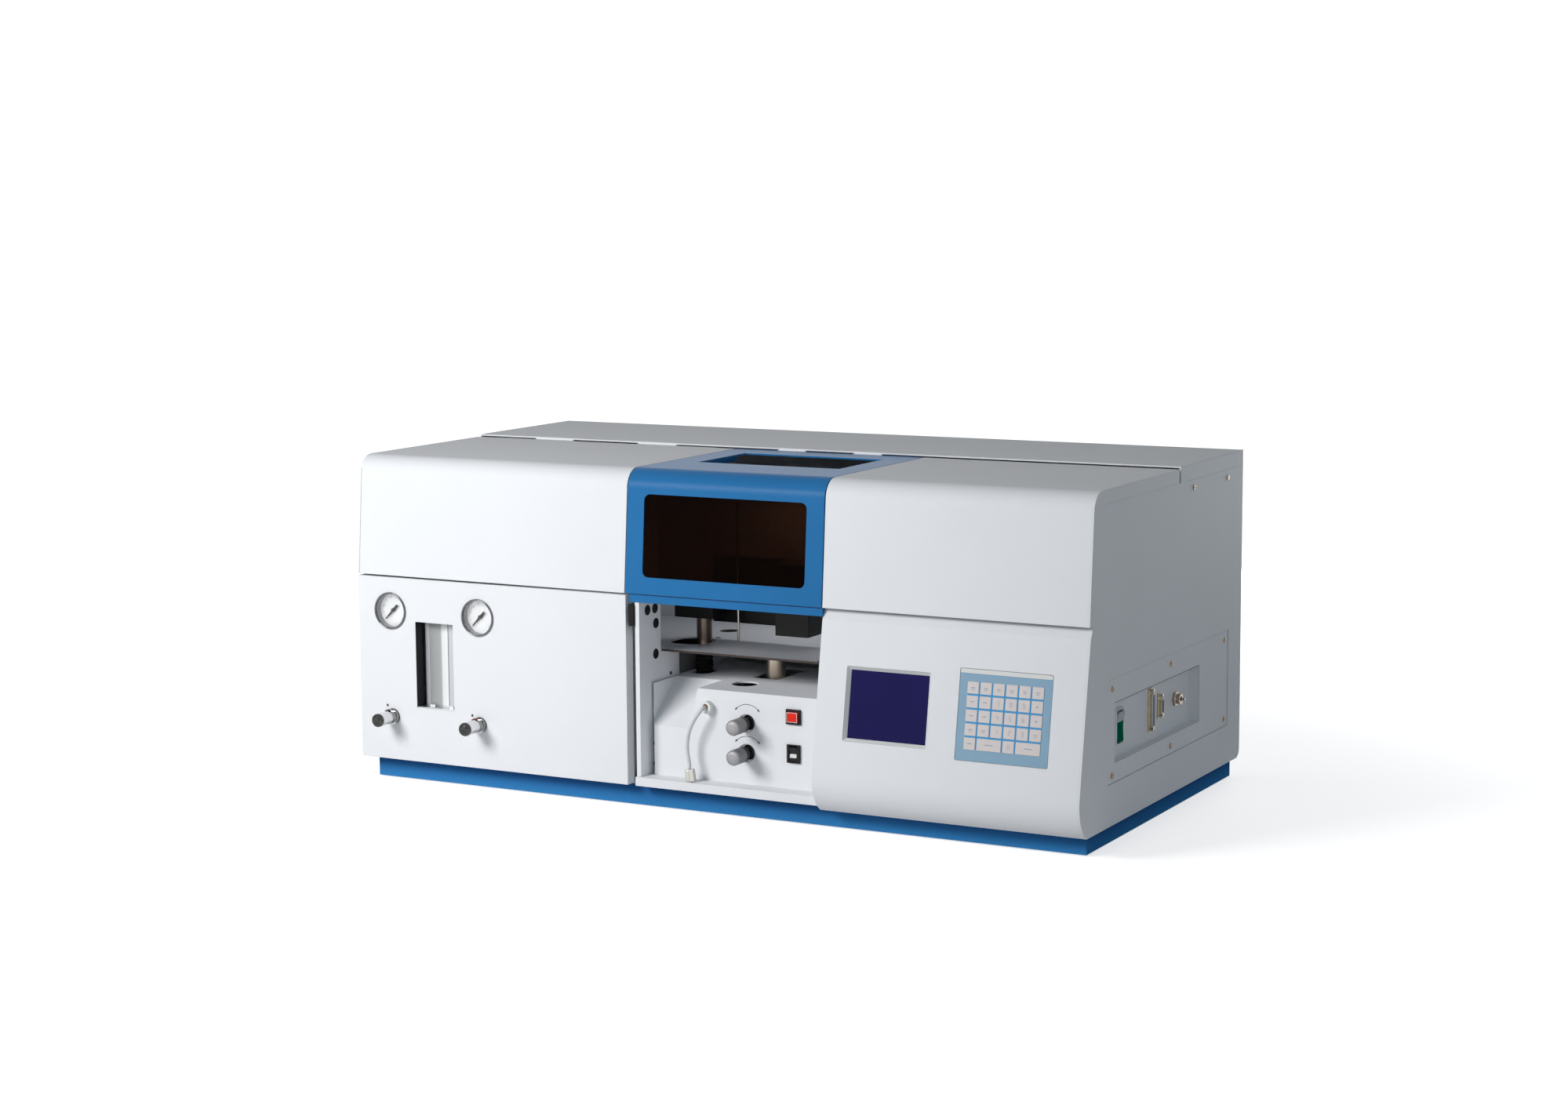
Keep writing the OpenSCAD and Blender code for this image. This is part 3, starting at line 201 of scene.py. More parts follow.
alloy = finish("milled_aluminium", (0.62, 0.63, 0.65), 0.3, 0.05, 0.1, grain=700, stretch=(0.05, 1, 1), Metallic=1.0)
steel = finish("satin_steel", (0.52, 0.5, 0.47), 0.27, 0.06, 0.08, grain=1500, stretch=(1, 1, 0.03), Metallic=1.0)
burner_steel = banded("tarnished_steel", ((-62, (0.14, 0.11, 0.09)), (-50, (0.2, 0.16, 0.13)),
                                          (10, (0.5, 0.42, 0.34))), "X", 0.34, Metallic=1.0)
# Burner knobs: the front end is painted a little lighter, as lit, and the bright ring in the dark rear band is a
# painted highlight; the dark rear band is a two-tone finish.
knob_two_tone_painted_light = banded("satin_knob_painted_light", ((-252, (0.27, 0.27, 0.28)), (-229, (0.25, 0.25, 0.26)), (-228, (0.05, 0.05, 0.05)),
                                   (-222, (0.06, 0.06, 0.06)), (-220.5, (0.5, 0.5, 0.5)), (-219, (0.05, 0.05, 0.05)),
                                   (-212, (0.05, 0.05, 0.05))), "Y", 0.6, Metallic=1.0)
# Painted reflections: the dark and bright bands along the valve knobs and bodies stand for what their chrome reflects.
valve_chrome_painted_reflections = banded("valve_chrome_painted_reflections", ((-276, (0.04, 0.04, 0.04)), (-270, (0.1, 0.1, 0.1)), (-268, (0.8, 0.8, 0.8)),
                                       (-252, (0.72, 0.72, 0.74)), (-248, (0.2, 0.2, 0.2)), (-243, (0.5, 0.5, 0.5)),
                                       (-239, (0.08, 0.08, 0.08))), "Y", 0.12, Metallic=1.0)
dark_chrome = finish("dark_chrome", (0.14, 0.14, 0.15), 0.08, 0.1, 0.03, grain=400, bump=0.01, Metallic=1.0)
bronze = finish("bronzed_steel", (0.24, 0.17, 0.11), 0.34, 0.2, 0.1, patch=200, Metallic=1.0)
brass = finish("brass", (0.62, 0.44, 0.17), 0.25, 0.1, 0.08, patch=60, Metallic=1.0)
black = finish("black_plastic", (0.016, 0.016, 0.018), 0.42, 0.2, 0.08, grain=2500, bump=0.08)
gloss_black = finish("gloss_black_plastic", (0.018, 0.018, 0.02), 0.16, 0.15, 0.04, grain=1200)
# White plastic parts; also a white patch painted as the reflection on the gas rocker.
white_plastic = finish("white_plastic", (0.82, 0.82, 0.8), 0.4, 0.02, 0.06, grain=1600, Subsurface_Weight=0.05)
dial_white = finish("dial_enamel", (0.88, 0.88, 0.89), 0.45, 0.02, 0.05, patch=120)
inner_grey = finish("gauge_wall", (0.3, 0.3, 0.32), 0.35, 0.1, 0.08, patch=120)
# Painted glow: the red float and the red button glow faintly, though neither is a lamp.
red = finish("red_plastic_painted_glow", (0.72, 0.02, 0.01), 0.2, 0.12, 0.05, patch=180, Emission_Color=(0.6, 0.02, 0.01, 1),
             Emission_Strength=0.12)
green = banded("green_lens", ((142.5, (0.0, 0.15, 0.075)), (143.5, (0.6, 0.64, 0.65))), "Z", 0.32,
               Specular_IOR_Level=0.0)
cream = finish("yellow_chromate", (0.5, 0.44, 0.3), 0.32, 0.1, 0.08, patch=150, Metallic=0.6)
port_blue = finish("port_blue", (0.02, 0.1, 0.3), 0.4, 0.1, 0.06, patch=150)
# Painted shade: dark grey for the plate on the left wall under the deck.
wall_painted_shade = finish("wall_painted_shade", (0.16, 0.16, 0.165), 0.6, 0.05, 0.05)
edge_brown = finish("deck_edge", (0.06, 0.045, 0.04), 0.5, 0.1, 0.05, patch=60)
dark_red = finish("dark_red_plastic", (0.13, 0.012, 0.01), 0.35, 0.15, 0.06, patch=300)
# Matte black for the door's hinge block, and painted shade in the post's holes, in two deck holes and round the neck
# below the deck.
black_and_painted_shade = finish("matte_black_and_painted_shade", (0.005, 0.005, 0.005), 0.7, 0.2, 0.1, patch=80, Specular_IOR_Level=0.2)
nickel = finish("worn_nickel", (0.42, 0.36, 0.3), 0.2, 0.15, 0.08, patch=250, Metallic=1.0)
rubber = finish("rubber", (0.02, 0.02, 0.02), 0.75, 0.2, 0.1, grain=700, bump=0.2)
key_face = finish("key_face", (0.74, 0.68, 0.66), 0.5, 0.015, 0.05, patch=90, grain=3000)
key_film = finish("keypad_film", (0.27, 0.43, 0.57), 0.42, 0.02, 0.05, patch=40, grain=3000)
key_line = finish("key_line", (0.07, 0.34, 0.66), 0.45, 0.03, 0.05, patch=60, grain=3000)
# Grey print and screw heads; also the shadow lines painted along the side plate and its pocket.
print_grey_and_painted_shade = finish("print_grey_and_painted_shade", (0.09, 0.09, 0.1), 0.5, 0.1, 0.05, patch=200)
dial_print = finish("dial_print", (0.24, 0.24, 0.25), 0.5, 0.1, 0.05, patch=200)
print_blue = finish("print_blue", (0.34, 0.44, 0.58), 0.5, 0.06, 0.05, patch=200)
screen = finish("screen_glass", (0.012, 0.01, 0.085), 0.12, 0.06, 0.03, patch=25, bump=0.0, Specular_IOR_Level=0.08)
rod_brown = finish("capillary", (0.2, 0.09, 0.04), 0.4, 0.15, 0.08, patch=300)
lamp_glass = finish("lamp_glass", (0.62, 0.56, 0.48), 0.08, 0.06, 0.03, patch=40, Transmission_Weight=0.6)
smoked = finish("smoked_acrylic", (0.03, 0.01, 0.005), 0.05, 0.06, 0.02, patch=12, bump=0.005,
                Transmission_Weight=0.93, IOR=1.08, Specular_IOR_Level=0.05)
clear = finish("clear_lens", (0.97, 0.98, 0.98), 0.03, 0.01, 0.01, bump=0.0, Transmission_Weight=1.0, IOR=1.3)
acrylic = finish("frosted_acrylic", (0.8, 0.82, 0.83), 0.22, 0.02, 0.06, patch=30, stretch=(1, 1, 0.05),
                 Transmission_Weight=0.25)
# Painted shade and light across the flowmeter's trough: grey on the left, bright on the right.
flow_shade = banded("flow_trough", ((-411, (0.33, 0.34, 0.34)), (-396, (0.42, 0.43, 0.43)), (-393, (0.8, 0.81, 0.81)),
                                    (-384, (0.9, 0.91, 0.91)), (-382, (0.5, 0.51, 0.51))), "X", 0.4)
tube_clear = finish("silicone_tube", (0.68, 0.7, 0.75), 0.4, 0.02, 0.05, patch=80, Subsurface_Weight=0.1)

LOOKS = {
    white: "left_side_panel right_side_panel connector_plate rear_panel rear_top_cover lamp_lid right_top_cover "
           "gas_panel display_panel left_wall burner_cover front_ledge",
    panel_grey: "floor_plate chamber_wall power_unit",
    deck_grey: "rear_deck",
    blue: "hood hood_sill",
    base_blue_painted_shade: "base_plinth",
    black_coat_and_painted_shade: "burner_head lens_tubes monochromator",
    alloy: "burner_carriage lamp_turret turret_stand",
    steel: "hinge_pins igniter_rod tube_clip",
    burner_steel: "burner_tubes",
    knob_two_tone_painted_light: "height_knob depth_knob",
    valve_chrome_painted_reflections: "air_valve_knob fuel_valve_knob valve_bodies",
    nickel: "toggle_body toggle_lever",
    dark_chrome: "gauge_cases knob_collars",
    bronze: "case_screws",
    brass: "gas_inlets",
    black: "power_inlet air_pointer fuel_pointer switch_frames burner_lift",
    gloss_black: "gas_rocker",
    white_plastic: "sample_inlet",
    dial_white: "gauge_dials",
    red: "flow_float ignition_button",
    green: "power_rocker",
    cream: "data_ports",
    rubber: "rubber_feet",
    key_film: "keypad",
    screen: "lcd_screen",
    lamp_glass: "cathode_lamps",
    smoked: "hood_window",
    clear: "gauge_lenses",
    acrylic: "flowmeter_block",
    tube_clear: "sample_tube",
}
for look, names in LOOKS.items():
    for name in names.split():
        nodes[name].data.materials.clear()
        nodes[name].data.materials.append(look)


# ---- building pieces
def piece(name, bm, look, body="chassis", stands_for=()):
    """Makes a piece of the part from a finished bmesh."""
    mesh = bpy.data.meshes.new(name)
    bmesh.ops.recalc_face_normals(bm, faces=bm.faces)
    bm.to_mesh(mesh)
    bm.free()
    obj = bpy.data.objects.new(name, mesh)
    scene.collection.objects.link(obj)
    mesh.materials.append(look)
    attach(obj, body)
    if stands_for:
        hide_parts(*stands_for)
    return obj


def smooth(obj, angle=35):
    """Smooth shading over edges flatter than an angle in degrees."""
    for poly in obj.data.polygons:
        poly.use_smooth = True
    with bpy.context.temp_override(object=obj, selected_editable_objects=[obj], active_object=obj):
        bpy.ops.object.shade_smooth_by_angle(angle=math.radians(angle))


def lathe(bm, profile, at, axis, steps):
    """Revolves (radius, travel) points, in mm, round an axis through a point; the outline is closed at radius 0."""
    axis = Vector(axis).normalized()
    side = axis.orthogonal().normalized()
    other = axis.cross(side)
    at = Vector(at)
    rows = []
    for radius, travel in profile:
        middle = at + axis * travel
        if radius == 0:
            rows.append([bm.verts.new(middle * MM)])
        else:
            rows.append([bm.verts.new((middle + radius * (math.cos(a) * side + math.sin(a) * other)) * MM)
                         for a in (2 * math.pi * k / steps for k in range(steps))])
    for first, second in zip(rows, rows[1:]):
        for k in range(steps):
            n = (k + 1) % steps
            corners = [first[k % len(first)], first[n % len(first)], second[n % len(second)], second[k % len(second)]]
            face = list(dict.fromkeys(corners))
            if len(face) > 2:
                bm.faces.new(face)


def block(bm, low, high, bevel=0.0):
    """A box between two corners, in mm, with rounded edges."""
    made = bmesh.ops.create_cube(bm, size=1.0)["verts"]
    low, high = Vector(low), Vector(high)
    for v in made:
        v.co = Vector([low[i] + (v.co[i] + 0.5) * (high[i] - low[i]) for i in range(3)]) * MM
    if bevel:
        edges = list({e for v in made for e in v.link_edges})
        bmesh.ops.bevel(bm, geom=edges, offset=bevel * MM, segments=2, profile=0.7, affect="EDGES")


def flat(bm, outline, place, thick):
    """A thin plate from an outline of (u, v) points; place turns (u, v, out) into a point in mm."""
    low = [bm.verts.new(Vector(place(u, v, 0.0)) * MM) for u, v in outline]
    top = [bm.verts.new(Vector(place(u, v, thick)) * MM) for u, v in outline]
    bm.faces.new(top)
    bm.faces.new(low[::-1])
    for k in range(len(outline)):
        n = (k + 1) % len(outline)
        bm.faces.new([low[k], low[n], top[n], top[k]])


def box_outline(u, v, w, h, r=0.0):
    """A rectangle round a middle point, with rounded corners where r is given."""
    if not r:
        return [(u - w / 2, v - h / 2), (u + w / 2, v - h / 2), (u + w / 2, v + h / 2), (u - w / 2, v + h / 2)]
    points = []
    for cu, cv, start in ((1, -1, -90), (1, 1, 0), (-1, 1, 90), (-1, -1, 180)):
        for step in range(5):
            a = math.radians(start + step * 22.5)
            points.append((u + cu * (w / 2 - r) + r * math.cos(a), v + cv * (h / 2 - r) + r * math.sin(a)))
    return points


def arc_outline(u, v, radius, start, end, width, steps=18):
    """A band along an arc between two angles in degrees."""
    angles = [math.radians(start + (end - start) * k / steps) for k in range(steps + 1)]
    outer = [(u + (radius + width / 2) * math.cos(a), v + (radius + width / 2) * math.sin(a)) for a in angles]
    inner = [(u + (radius - width / 2) * math.cos(a), v + (radius - width / 2) * math.sin(a)) for a in angles]
    return outer + inner[::-1]


def front_at(y):
    """Places on an upright front face: u to the right, v up, out towards the viewer."""
    return lambda u, v, out: (u, y - out, v)


def on_display(u, v, out):
    """Places on the leaning display panel: u to the right, v the height."""
    y = FACE_Y + (v - FACE_Z) * math.tan(FACE_LEAN)
    return (u, y - out * math.cos(FACE_LEAN), v + out * math.sin(FACE_LEAN))


def on_side(x):
    """Places on a face to the right: u towards the back, v up."""
    return lambda u, v, out: (x + out, u, v)


# ---- sample tube, from its boss to its clip
ROUTE = [(-2.5, -221.5, 133.5), (-3.5, -227, 132.5), (-7, -230.5, 127.5), (-13.5, -231.5, 117.5), (-19.5, -231, 105.5),
         (-23, -230.5, 92.5), (-23.5, -230.5, 79.5), (-21.5, -231, 69.5), (-20, -231.5, 63.5), (-20, -231.5, 57.5)]


def through(points, parts=3):
    """Points on a smooth curve through the given ones."""
    points = [Vector(p) for p in points]
    ends = [2 * points[0] - points[1]] + points + [2 * points[-1] - points[-2]]
    out = []
    for a, b, c, d in zip(ends, ends[1:], ends[2:], ends[3:]):
        for k in range(parts):
            t = k / parts
            out.append(0.5 * (2 * b + (c - a) * t + (2 * a - 5 * b + 4 * c - d) * t * t
                              + (3 * b - a - 3 * c + d) * t ** 3))
    return out + [points[-1]]


def make_tube():
    """The limp tube, a curve along its route."""
    route = [p * MM for p in through(ROUTE)]
    curve = bpy.data.curves.new("sample_line", "CURVE")
    curve.dimensions = "3D"
    curve.bevel_depth = 0.0025
    curve.bevel_resolution = 4
    curve.use_fill_caps = True
    spline = curve.splines.new("POLY")
    spline.points.add(len(route) - 1)
    for point, at in zip(spline.points, route):
        point.co = (*at, 1)
    line = bpy.data.objects.new("sample_line", curve)
    scene.collection.objects.link(line)
    curve.materials.append(tube_clear)
    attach(line, "chassis")
    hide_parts("sample_tube")


def make_tube_ends():
    """The brown core of the boss and a small tilted clip with a thin lever."""
    core, clip, lever = bmesh.new(), bmesh.new(), bmesh.new()
    lathe(core, [(0, -0.35), (3.3, -0.35), (3.6, 0.0), (0, 0.0)], (-2.3, -221.5, 134.3), (0, 1, 0), 24)
    block(clip, (-23.0, -234.6, 41.5), (-11.5, -228.4, 57.0), 0.8)
    block(clip, (-21.8, -235.2, 44.0), (-17.5, -234.5, 55.5), 0.3)
    block(lever, (-17.6, -232.4, 56.0), (-15.9, -230.8, 64.5), 0.3)
    foot = Vector((-17.0, -231.5, 41.5)) * MM
    turn = Matrix.Rotation(math.radians(-9), 4, "Y")
    lean = Matrix.Translation(foot) @ turn @ Matrix.Translation(-foot)
    for bm in (clip, lever):
        bmesh.ops.transform(bm, matrix=lean, verts=bm.verts)
    smooth(piece("boss_core", core, rod_brown))
    piece("clip_body", clip, steel, stands_for=("tube_clip",))
    piece("clip_lever", lever, black)


make_tube()
make_tube_ends()


# ---- gauges
def make_gauges():
    """Rims, inner walls and scale marks of both gauges."""
    rims, walls, marks = bmesh.new(), bmesh.new(), bmesh.new()
    rim = [(22.05, -1.5), (22.05, -2.0), (22.5, -2.5), (23.5, -2.5), (24.0, -2.0), (24.1, -1.5), (22.05, -1.5)]
    wall = [(21.95, 1.05), (21.55, 1.05), (21.55, 8.9), (21.95, 8.9), (21.95, 1.05)]
    place = front_at(DIAL)
    for x in GAUGES:
        at = (x, FRONT, GAUGE_Z)
        lathe(rims, rim, at, (0, 1, 0), 72)
        lathe(walls, wall, at, (0, 1, 0), 72)
        for k in range(28):
            a = math.radians(225 - k * 10)
            long = k % 3 == 0
            inner, outer, w = (15.2, 18.6, 0.3) if long else (16.9, 18.6, 0.16)
            u, v = math.cos(a), math.sin(a)
            flat(marks, [(x + r * u + s * w * v, GAUGE_Z + r * v - s * w * u)
                         for r, s in ((inner, -1), (outer, -1), (outer, 1), (inner, 1))], place, 0.08)
    smooth(piece("gauge_rims", rims, dark_chrome))
    smooth(piece("gauge_walls", walls, inner_grey))
    piece("dial_marks", marks, dial_print)


make_gauges()


# ---- flowmeter behind its window
def upright(bm, plan, low, high):
    """A closed plan of (x, y) points raised between two heights."""
    rings = [[bm.verts.new(Vector((x, y, z)) * MM) for x, y in plan] for z in (low, high)]
    bm.faces.new(rings[0][::-1])
    bm.faces.new(rings[1])
    for k in range(len(plan)):
        n = (k + 1) % len(plan)
        bm.faces.new([rings[0][k], rings[0][n], rings[1][n], rings[1][k]])


def make_flowmeter():
    """Rails, a hollow trough with painted shade across it, and black strips painted as the shade in its gaps, in front
    of the flow tube, on a metal sill.
    """
    strip, trough, gaps, sill = (bmesh.new() for _ in range(4))
    low, high = FLOW_Z - 3, FLOW_Z + FLOW_H + 3
    back = -218.55
    for left, right, front in ((-418.8, -412.4, -219.6), (-382.1, -361.0, -221.2)):
        upright(strip, [(left, back), (left, front), (right, front), (right, back)], low, high)
    radius, half = 46.9, math.radians(18.0)
    arc = [(-396.7 + radius * math.sin(a), -265.5 + radius * math.cos(a))
           for a in (half * (k / 12 - 1) for k in range(25))]
    upright(trough, [(-411.2, back)] + arc + [(-382.2, back)], low, high)
    bottom, top = FLOW_Z + 0.5, FLOW_Z + FLOW_H - 0.5
    # Black strips painted as the shade in the gaps beside the window's edge, the rails and the trough.
    block(gaps, (-421.45, -237.2, bottom), (-420.9, -221.8, top))
    for x0, x1, y in ((-421.4, -418.9, -220.5), (-412.35, -411.25, -219.4), (-382.6, -381.9, -221.4)):
        block(gaps, (x0, y, bottom), (x1, -218.6, top))
    block(sill, (-421.4, -236.6, FLOW_Z + 0.05), (-363.6, -222, FLOW_Z + 1.2), 0.3)
    block(sill, (-373, -236, FLOW_Z + 1), (-366, -231, FLOW_Z + 6), 0.8)
    block(sill, (-410, -226, FLOW_Z + 1), (-402, -222.4, FLOW_Z + 3.5), 0.8)
    piece("flow_rails", strip, panel_grey)
    smooth(piece("flow_trough", trough, flow_shade), 20)
    piece("flow_gap_shade", gaps, black_coat_and_painted_shade)
    piece("flow_sill", sill, alloy)


make_flowmeter()


# ---- keypad and screen
def raised(lift):
    """Places on the display panel, moved outwards by a little."""
    return lambda u, v, out: on_display(u, v, out + lift)


def make_keypad():
    """Keys with plain signs, printed on the keypad's film."""
    faces, lines, signs, strip = bmesh.new(), bmesh.new(), bmesh.new(), bmesh.new()
    pitch_u, pitch_v = 16.3, 16.0
    u0, v0 = KEYPAD[0] - 3 * pitch_u, KEYPAD[1] + 39.3
    film, lift, mark = raised(-0.3), raised(-0.2), raised(0.2)
    flat(lines, box_outline(KEYPAD[0], v0 - 2.5 * pitch_v, 6 * pitch_u - 3.0, 5 * pitch_v - 3.2, 1.0), film, 0.12)
    flat(strip, box_outline(KEYPAD[0], KEYPAD[1] + 50.0, 115.6, 5.0, 0.6), film, 0.15)
    rows = [[1] * 6] * 4 + [[1, 2, 1, 2]]
    for r, row in enumerate(rows):
        c = 0
        for span in row:
            u = u0 + (c + span / 2) * pitch_u
            v = v0 - (r + 0.5) * pitch_v
            flat(faces, box_outline(u, v, span * pitch_u - 2.0, pitch_v - 2.2, 0.8), lift, 0.4)
            glyph(signs, r, c, span, u, v, mark)
            c += span
    piece("keypad_strip", strip, white_plastic)
    piece("key_lines", lines, key_line)
    piece("key_faces", faces, key_face)
    piece("key_signs", signs, print_blue)


SEGMENTS = {"0": "abcdef", "1": "bc", "2": "abged", "3": "abgcd", "4": "fgbc", "5": "afgcd", "6": "afgedc",
            "7": "abc", "8": "abcdefg", "9": "abcdfg"}
BARS = {"a": (0, 1, 1.6, 0), "b": (0.8, 0.5, 0, 1), "c": (0.8, -0.5, 0, 1), "d": (0, -1, 1.6, 0),
        "e": (-0.8, -0.5, 0, 1), "f": (-0.8, 0.5, 0, 1), "g": (0, 0, 1.6, 0)}
DIGITS = {(1, 2): "7", (1, 3): "8", (1, 4): "9", (2, 2): "4", (2, 3): "5", (2, 4): "6",
          (3, 2): "1", (3, 3): "2", (3, 4): "3", (4, 3): "0"}


def glyph(bm, r, c, span, u, v, place):
    """A plain sign on a key: a digit, an arrow or a short bar."""
    if (r, c) in DIGITS:
        for s in SEGMENTS[DIGITS[r, c]]:
            du, dv, w, h = BARS[s]
            flat(bm, box_outline(u + du * 1.4, v + dv * 2.6, max(w * 1.4, 0.5), max(h * 2.6, 0.5)), place, 0.03)
    elif c == 5 and r in (1, 2):
        way = 1 if r == 1 else -1
        flat(bm, [(u - 1.8, v - 0.8 * way), (u + 1.8, v - 0.8 * way), (u, v + 1.8 * way)][::way], place, 0.03)
    else:
        flat(bm, box_outline(u, v, 5.0 * span, 1.0), place, 0.03)
        if span == 1 and r in (0, 3):
            flat(bm, box_outline(u, v - 2.2, 3.4, 0.7), place, 0.03)


def make_bezel():
    """A sloped border round the screen, from the panel's face down to the glass."""
    bm = bmesh.new()
    outer = [on_display(u, v, -0.2) for u, v in box_outline(*SCREEN, 109.8, 87.6)]
    inner = [on_display(u, v, -4.9) for u, v in box_outline(*SCREEN, 102.0, 80.0)]
    behind = [on_display(u, v, -4.95) for u, v in box_outline(*SCREEN, 109.8, 87.6)]
    rings = [[bm.verts.new(Vector(p) * MM) for p in ring] for ring in (outer, inner, behind)]
    for first, second in zip(rings, rings[1:] + rings[:1]):
        for k in range(4):
            n = (k + 1) % 4
            bm.faces.new([first[k], first[n], second[n], second[k]])
    piece("screen_border", bm, white_plastic)


make_keypad()
make_bezel()


# ---- marks beside knobs and valves
def make_marks():
    """Arrows beside the burner knobs, and dots and coloured caps on the gas valves."""
    marks, dots = bmesh.new(), bmesh.new()
    place = front_at(COVER)
    u0, radius, half = KNOB_X + 1.0, 21.75, 43.6
    for v0 in (KNOBS_Z[0] + 1.7, KNOBS_Z[1] - 1.0):
        flat(marks, arc_outline(u0, v0, radius, 90 - half + 2, 90 + half - 2, 0.7), place, 0.1)
        for a, way in ((90 - half, -1), (90 + half, 1)):
            t = math.radians(a)
            u, v = u0 + radius * math.cos(t), v0 + radius * math.sin(t)
            du, dv = -math.sin(t) * way, math.cos(t) * way
            flat(marks, [(u + 3.6 * du, v + 3.6 * dv), (u - 0.6 * du - 1.5 * dv, v - 0.6 * dv + 1.5 * du),
                         (u - 0.6 * du + 1.5 * dv, v - 0.6 * dv - 1.5 * du)], place, 0.1)
    piece("turn_arrows", marks, print_grey_and_painted_shade)
    for u, v in ((-468.1, 100.4), (-335.9, 97.9)):
        flat(dots, arc_outline(u, v, 0.9, 0, 359, 1.7), front_at(FRONT), 0.1)
    piece("valve_dots", dots, print_grey_and_painted_shade)
    for x, body, look in ((GAUGES[0], "air_valve_knob", black), (GAUGES[1], "fuel_valve_knob", dark_red)):
        disc = bmesh.new()
        cap = [(0, 7.0), (4.2, 7.0), (4.2, 9.3), (3.5, 9.6), (0, 9.7)]
        lathe(disc, cap, (x, -246.0, VALVE_Z), (0, -0.34, 0.94), 24)
        smooth(piece(body + "_mark", disc, look, body))


def make_fixings():
    """Small parts of the bay: screws, black rings painted as the shade in the post's holes, the door's hinge block,
    the deck's edge, and a black sleeve painted as the shade round the neck.
    """
    screws = bmesh.new()
    head = [(0, -1.4), (1.6, -1.4), (2.3, -0.8), (2.3, 0.0), (0, 0.0)]
    for z in (80.0, 54.5):
        lathe(screws, head, (-82.0, -210.7, z), (0.83, 0.55, 0), 16)
    lathe(screws, head, (POST + 0.1, -159.0, 160.0), (-1, 0, 0), 16)
    lathe(screws, head, (133.0, -178.5, DECK), (0, 0, -1), 16)
    piece("bay_screws", screws, print_grey_and_painted_shade)

    line = bmesh.new()
    block(line, (-101.0, -234.4, 269.95), (167.0, -228.0, 270.9))
    piece("sill_line", line, dark_red)

    # Black rings painted as the shade inside the post's holes, wider than the holes in the part.
    holes = bmesh.new()
    hole_shade_ring = [(0, 0), (6.4, 0), (6.4, 0.5), (5.6, 0.7), (5.0, 0.3), (0, 0.3)]
    for y, z in POST_HOLES:
        lathe(holes, hole_shade_ring, (POST, y, z), (1, 0, 0), 32)
    smooth(piece("post_hole_shade", holes, black_and_painted_shade))

    # Black discs painted as the shade in two holes of the deck.
    hole_shades = bmesh.new()
    for dx, dy, r in ((-11.0, 83.5, 12.3), (3.5, 28.5, 4.3)):
        at = (NECK[0] + dx, NECK[1] + dy, DECK - 1.7)
        lathe(hole_shades, [(0, 0), (r, 0), (r, 1.0), (0, 1.0)], at, (0, 0, 1), 32)
    piece("deck_hole_shade", hole_shades, black_and_painted_shade)

    edge = bmesh.new()
    block(edge, (-87.0, -182.3, DECK - 2.4), (163.0, -181.45, DECK + 0.3), 0.3)
    piece("deck_edge", edge, edge_brown)

    # A plate over the left wall's opening; its dark grey is painted shade under the deck.
    patch = bmesh.new()
    block(patch, (POST - 1.6, -139.0, 156.0), (POST - 0.2, -82.0, 184.0))
    piece("wall_shade_patch", patch, wall_painted_shade)

    # A ribbed black sleeve round the neck below the deck: painted shade that keeps the neck dark there.
    shade_sleeve = bmesh.new()
    folds = [(11.0 - (k % 2), 153.0 + 2.5 * k) for k in range(13)]
    lathe(shade_sleeve, [(10.0, 150.0), (11.0, 150.0)] + folds + [(10.0, 186.0), (10.0, 150.0)], (*NECK, 0), (0, 0, 1), 32)
    piece("neck_shade_sleeve", shade_sleeve, black_and_painted_shade, "burner")

    hinge = bmesh.new()
    block(hinge, (-101.5, -236.5, 230), (-94.3, -224.0, 257), 0.6)
    piece("door_hinge", hinge, black_and_painted_shade)


make_fixings()
make_marks()


# ---- switches
def make_switches():
    """The red button's border, and a white patch painted as the reflection on the rocker's lower half."""
    border = bmesh.new()
    y = COVER - 6.0
    for du, dv, w, h in ((0, 5.75, 14.4, 0.7), (0, -5.75, 14.4, 0.7), (-6.85, 0, 0.7, 11.0), (6.85, 0, 0.7, 11.0)):
        block(border, (SWITCH_X + du - w / 2, y - 0.3, BUTTON_Z + dv - h / 2),
              (SWITCH_X + du + w / 2, y, BUTTON_Z + dv + h / 2), 0.2)
    piece("button_border", border, white_plastic, "ignition_button")
    # A white patch on the black rocker's lower half, painted as its reflection.
    lit = bmesh.new()
    flat(lit, box_outline(SWITCH_X - 0.6, ROCKER_Z - 2.6, 9.4, 4.8, 0.8),
         lambda u, v, out: (u, COVER - 1.05 + (v - ROCKER_Z) / 6 - out, v), 0.12)
    piece("rocker_painted_reflection", lit, white_plastic, "gas_rocker")


make_switches()


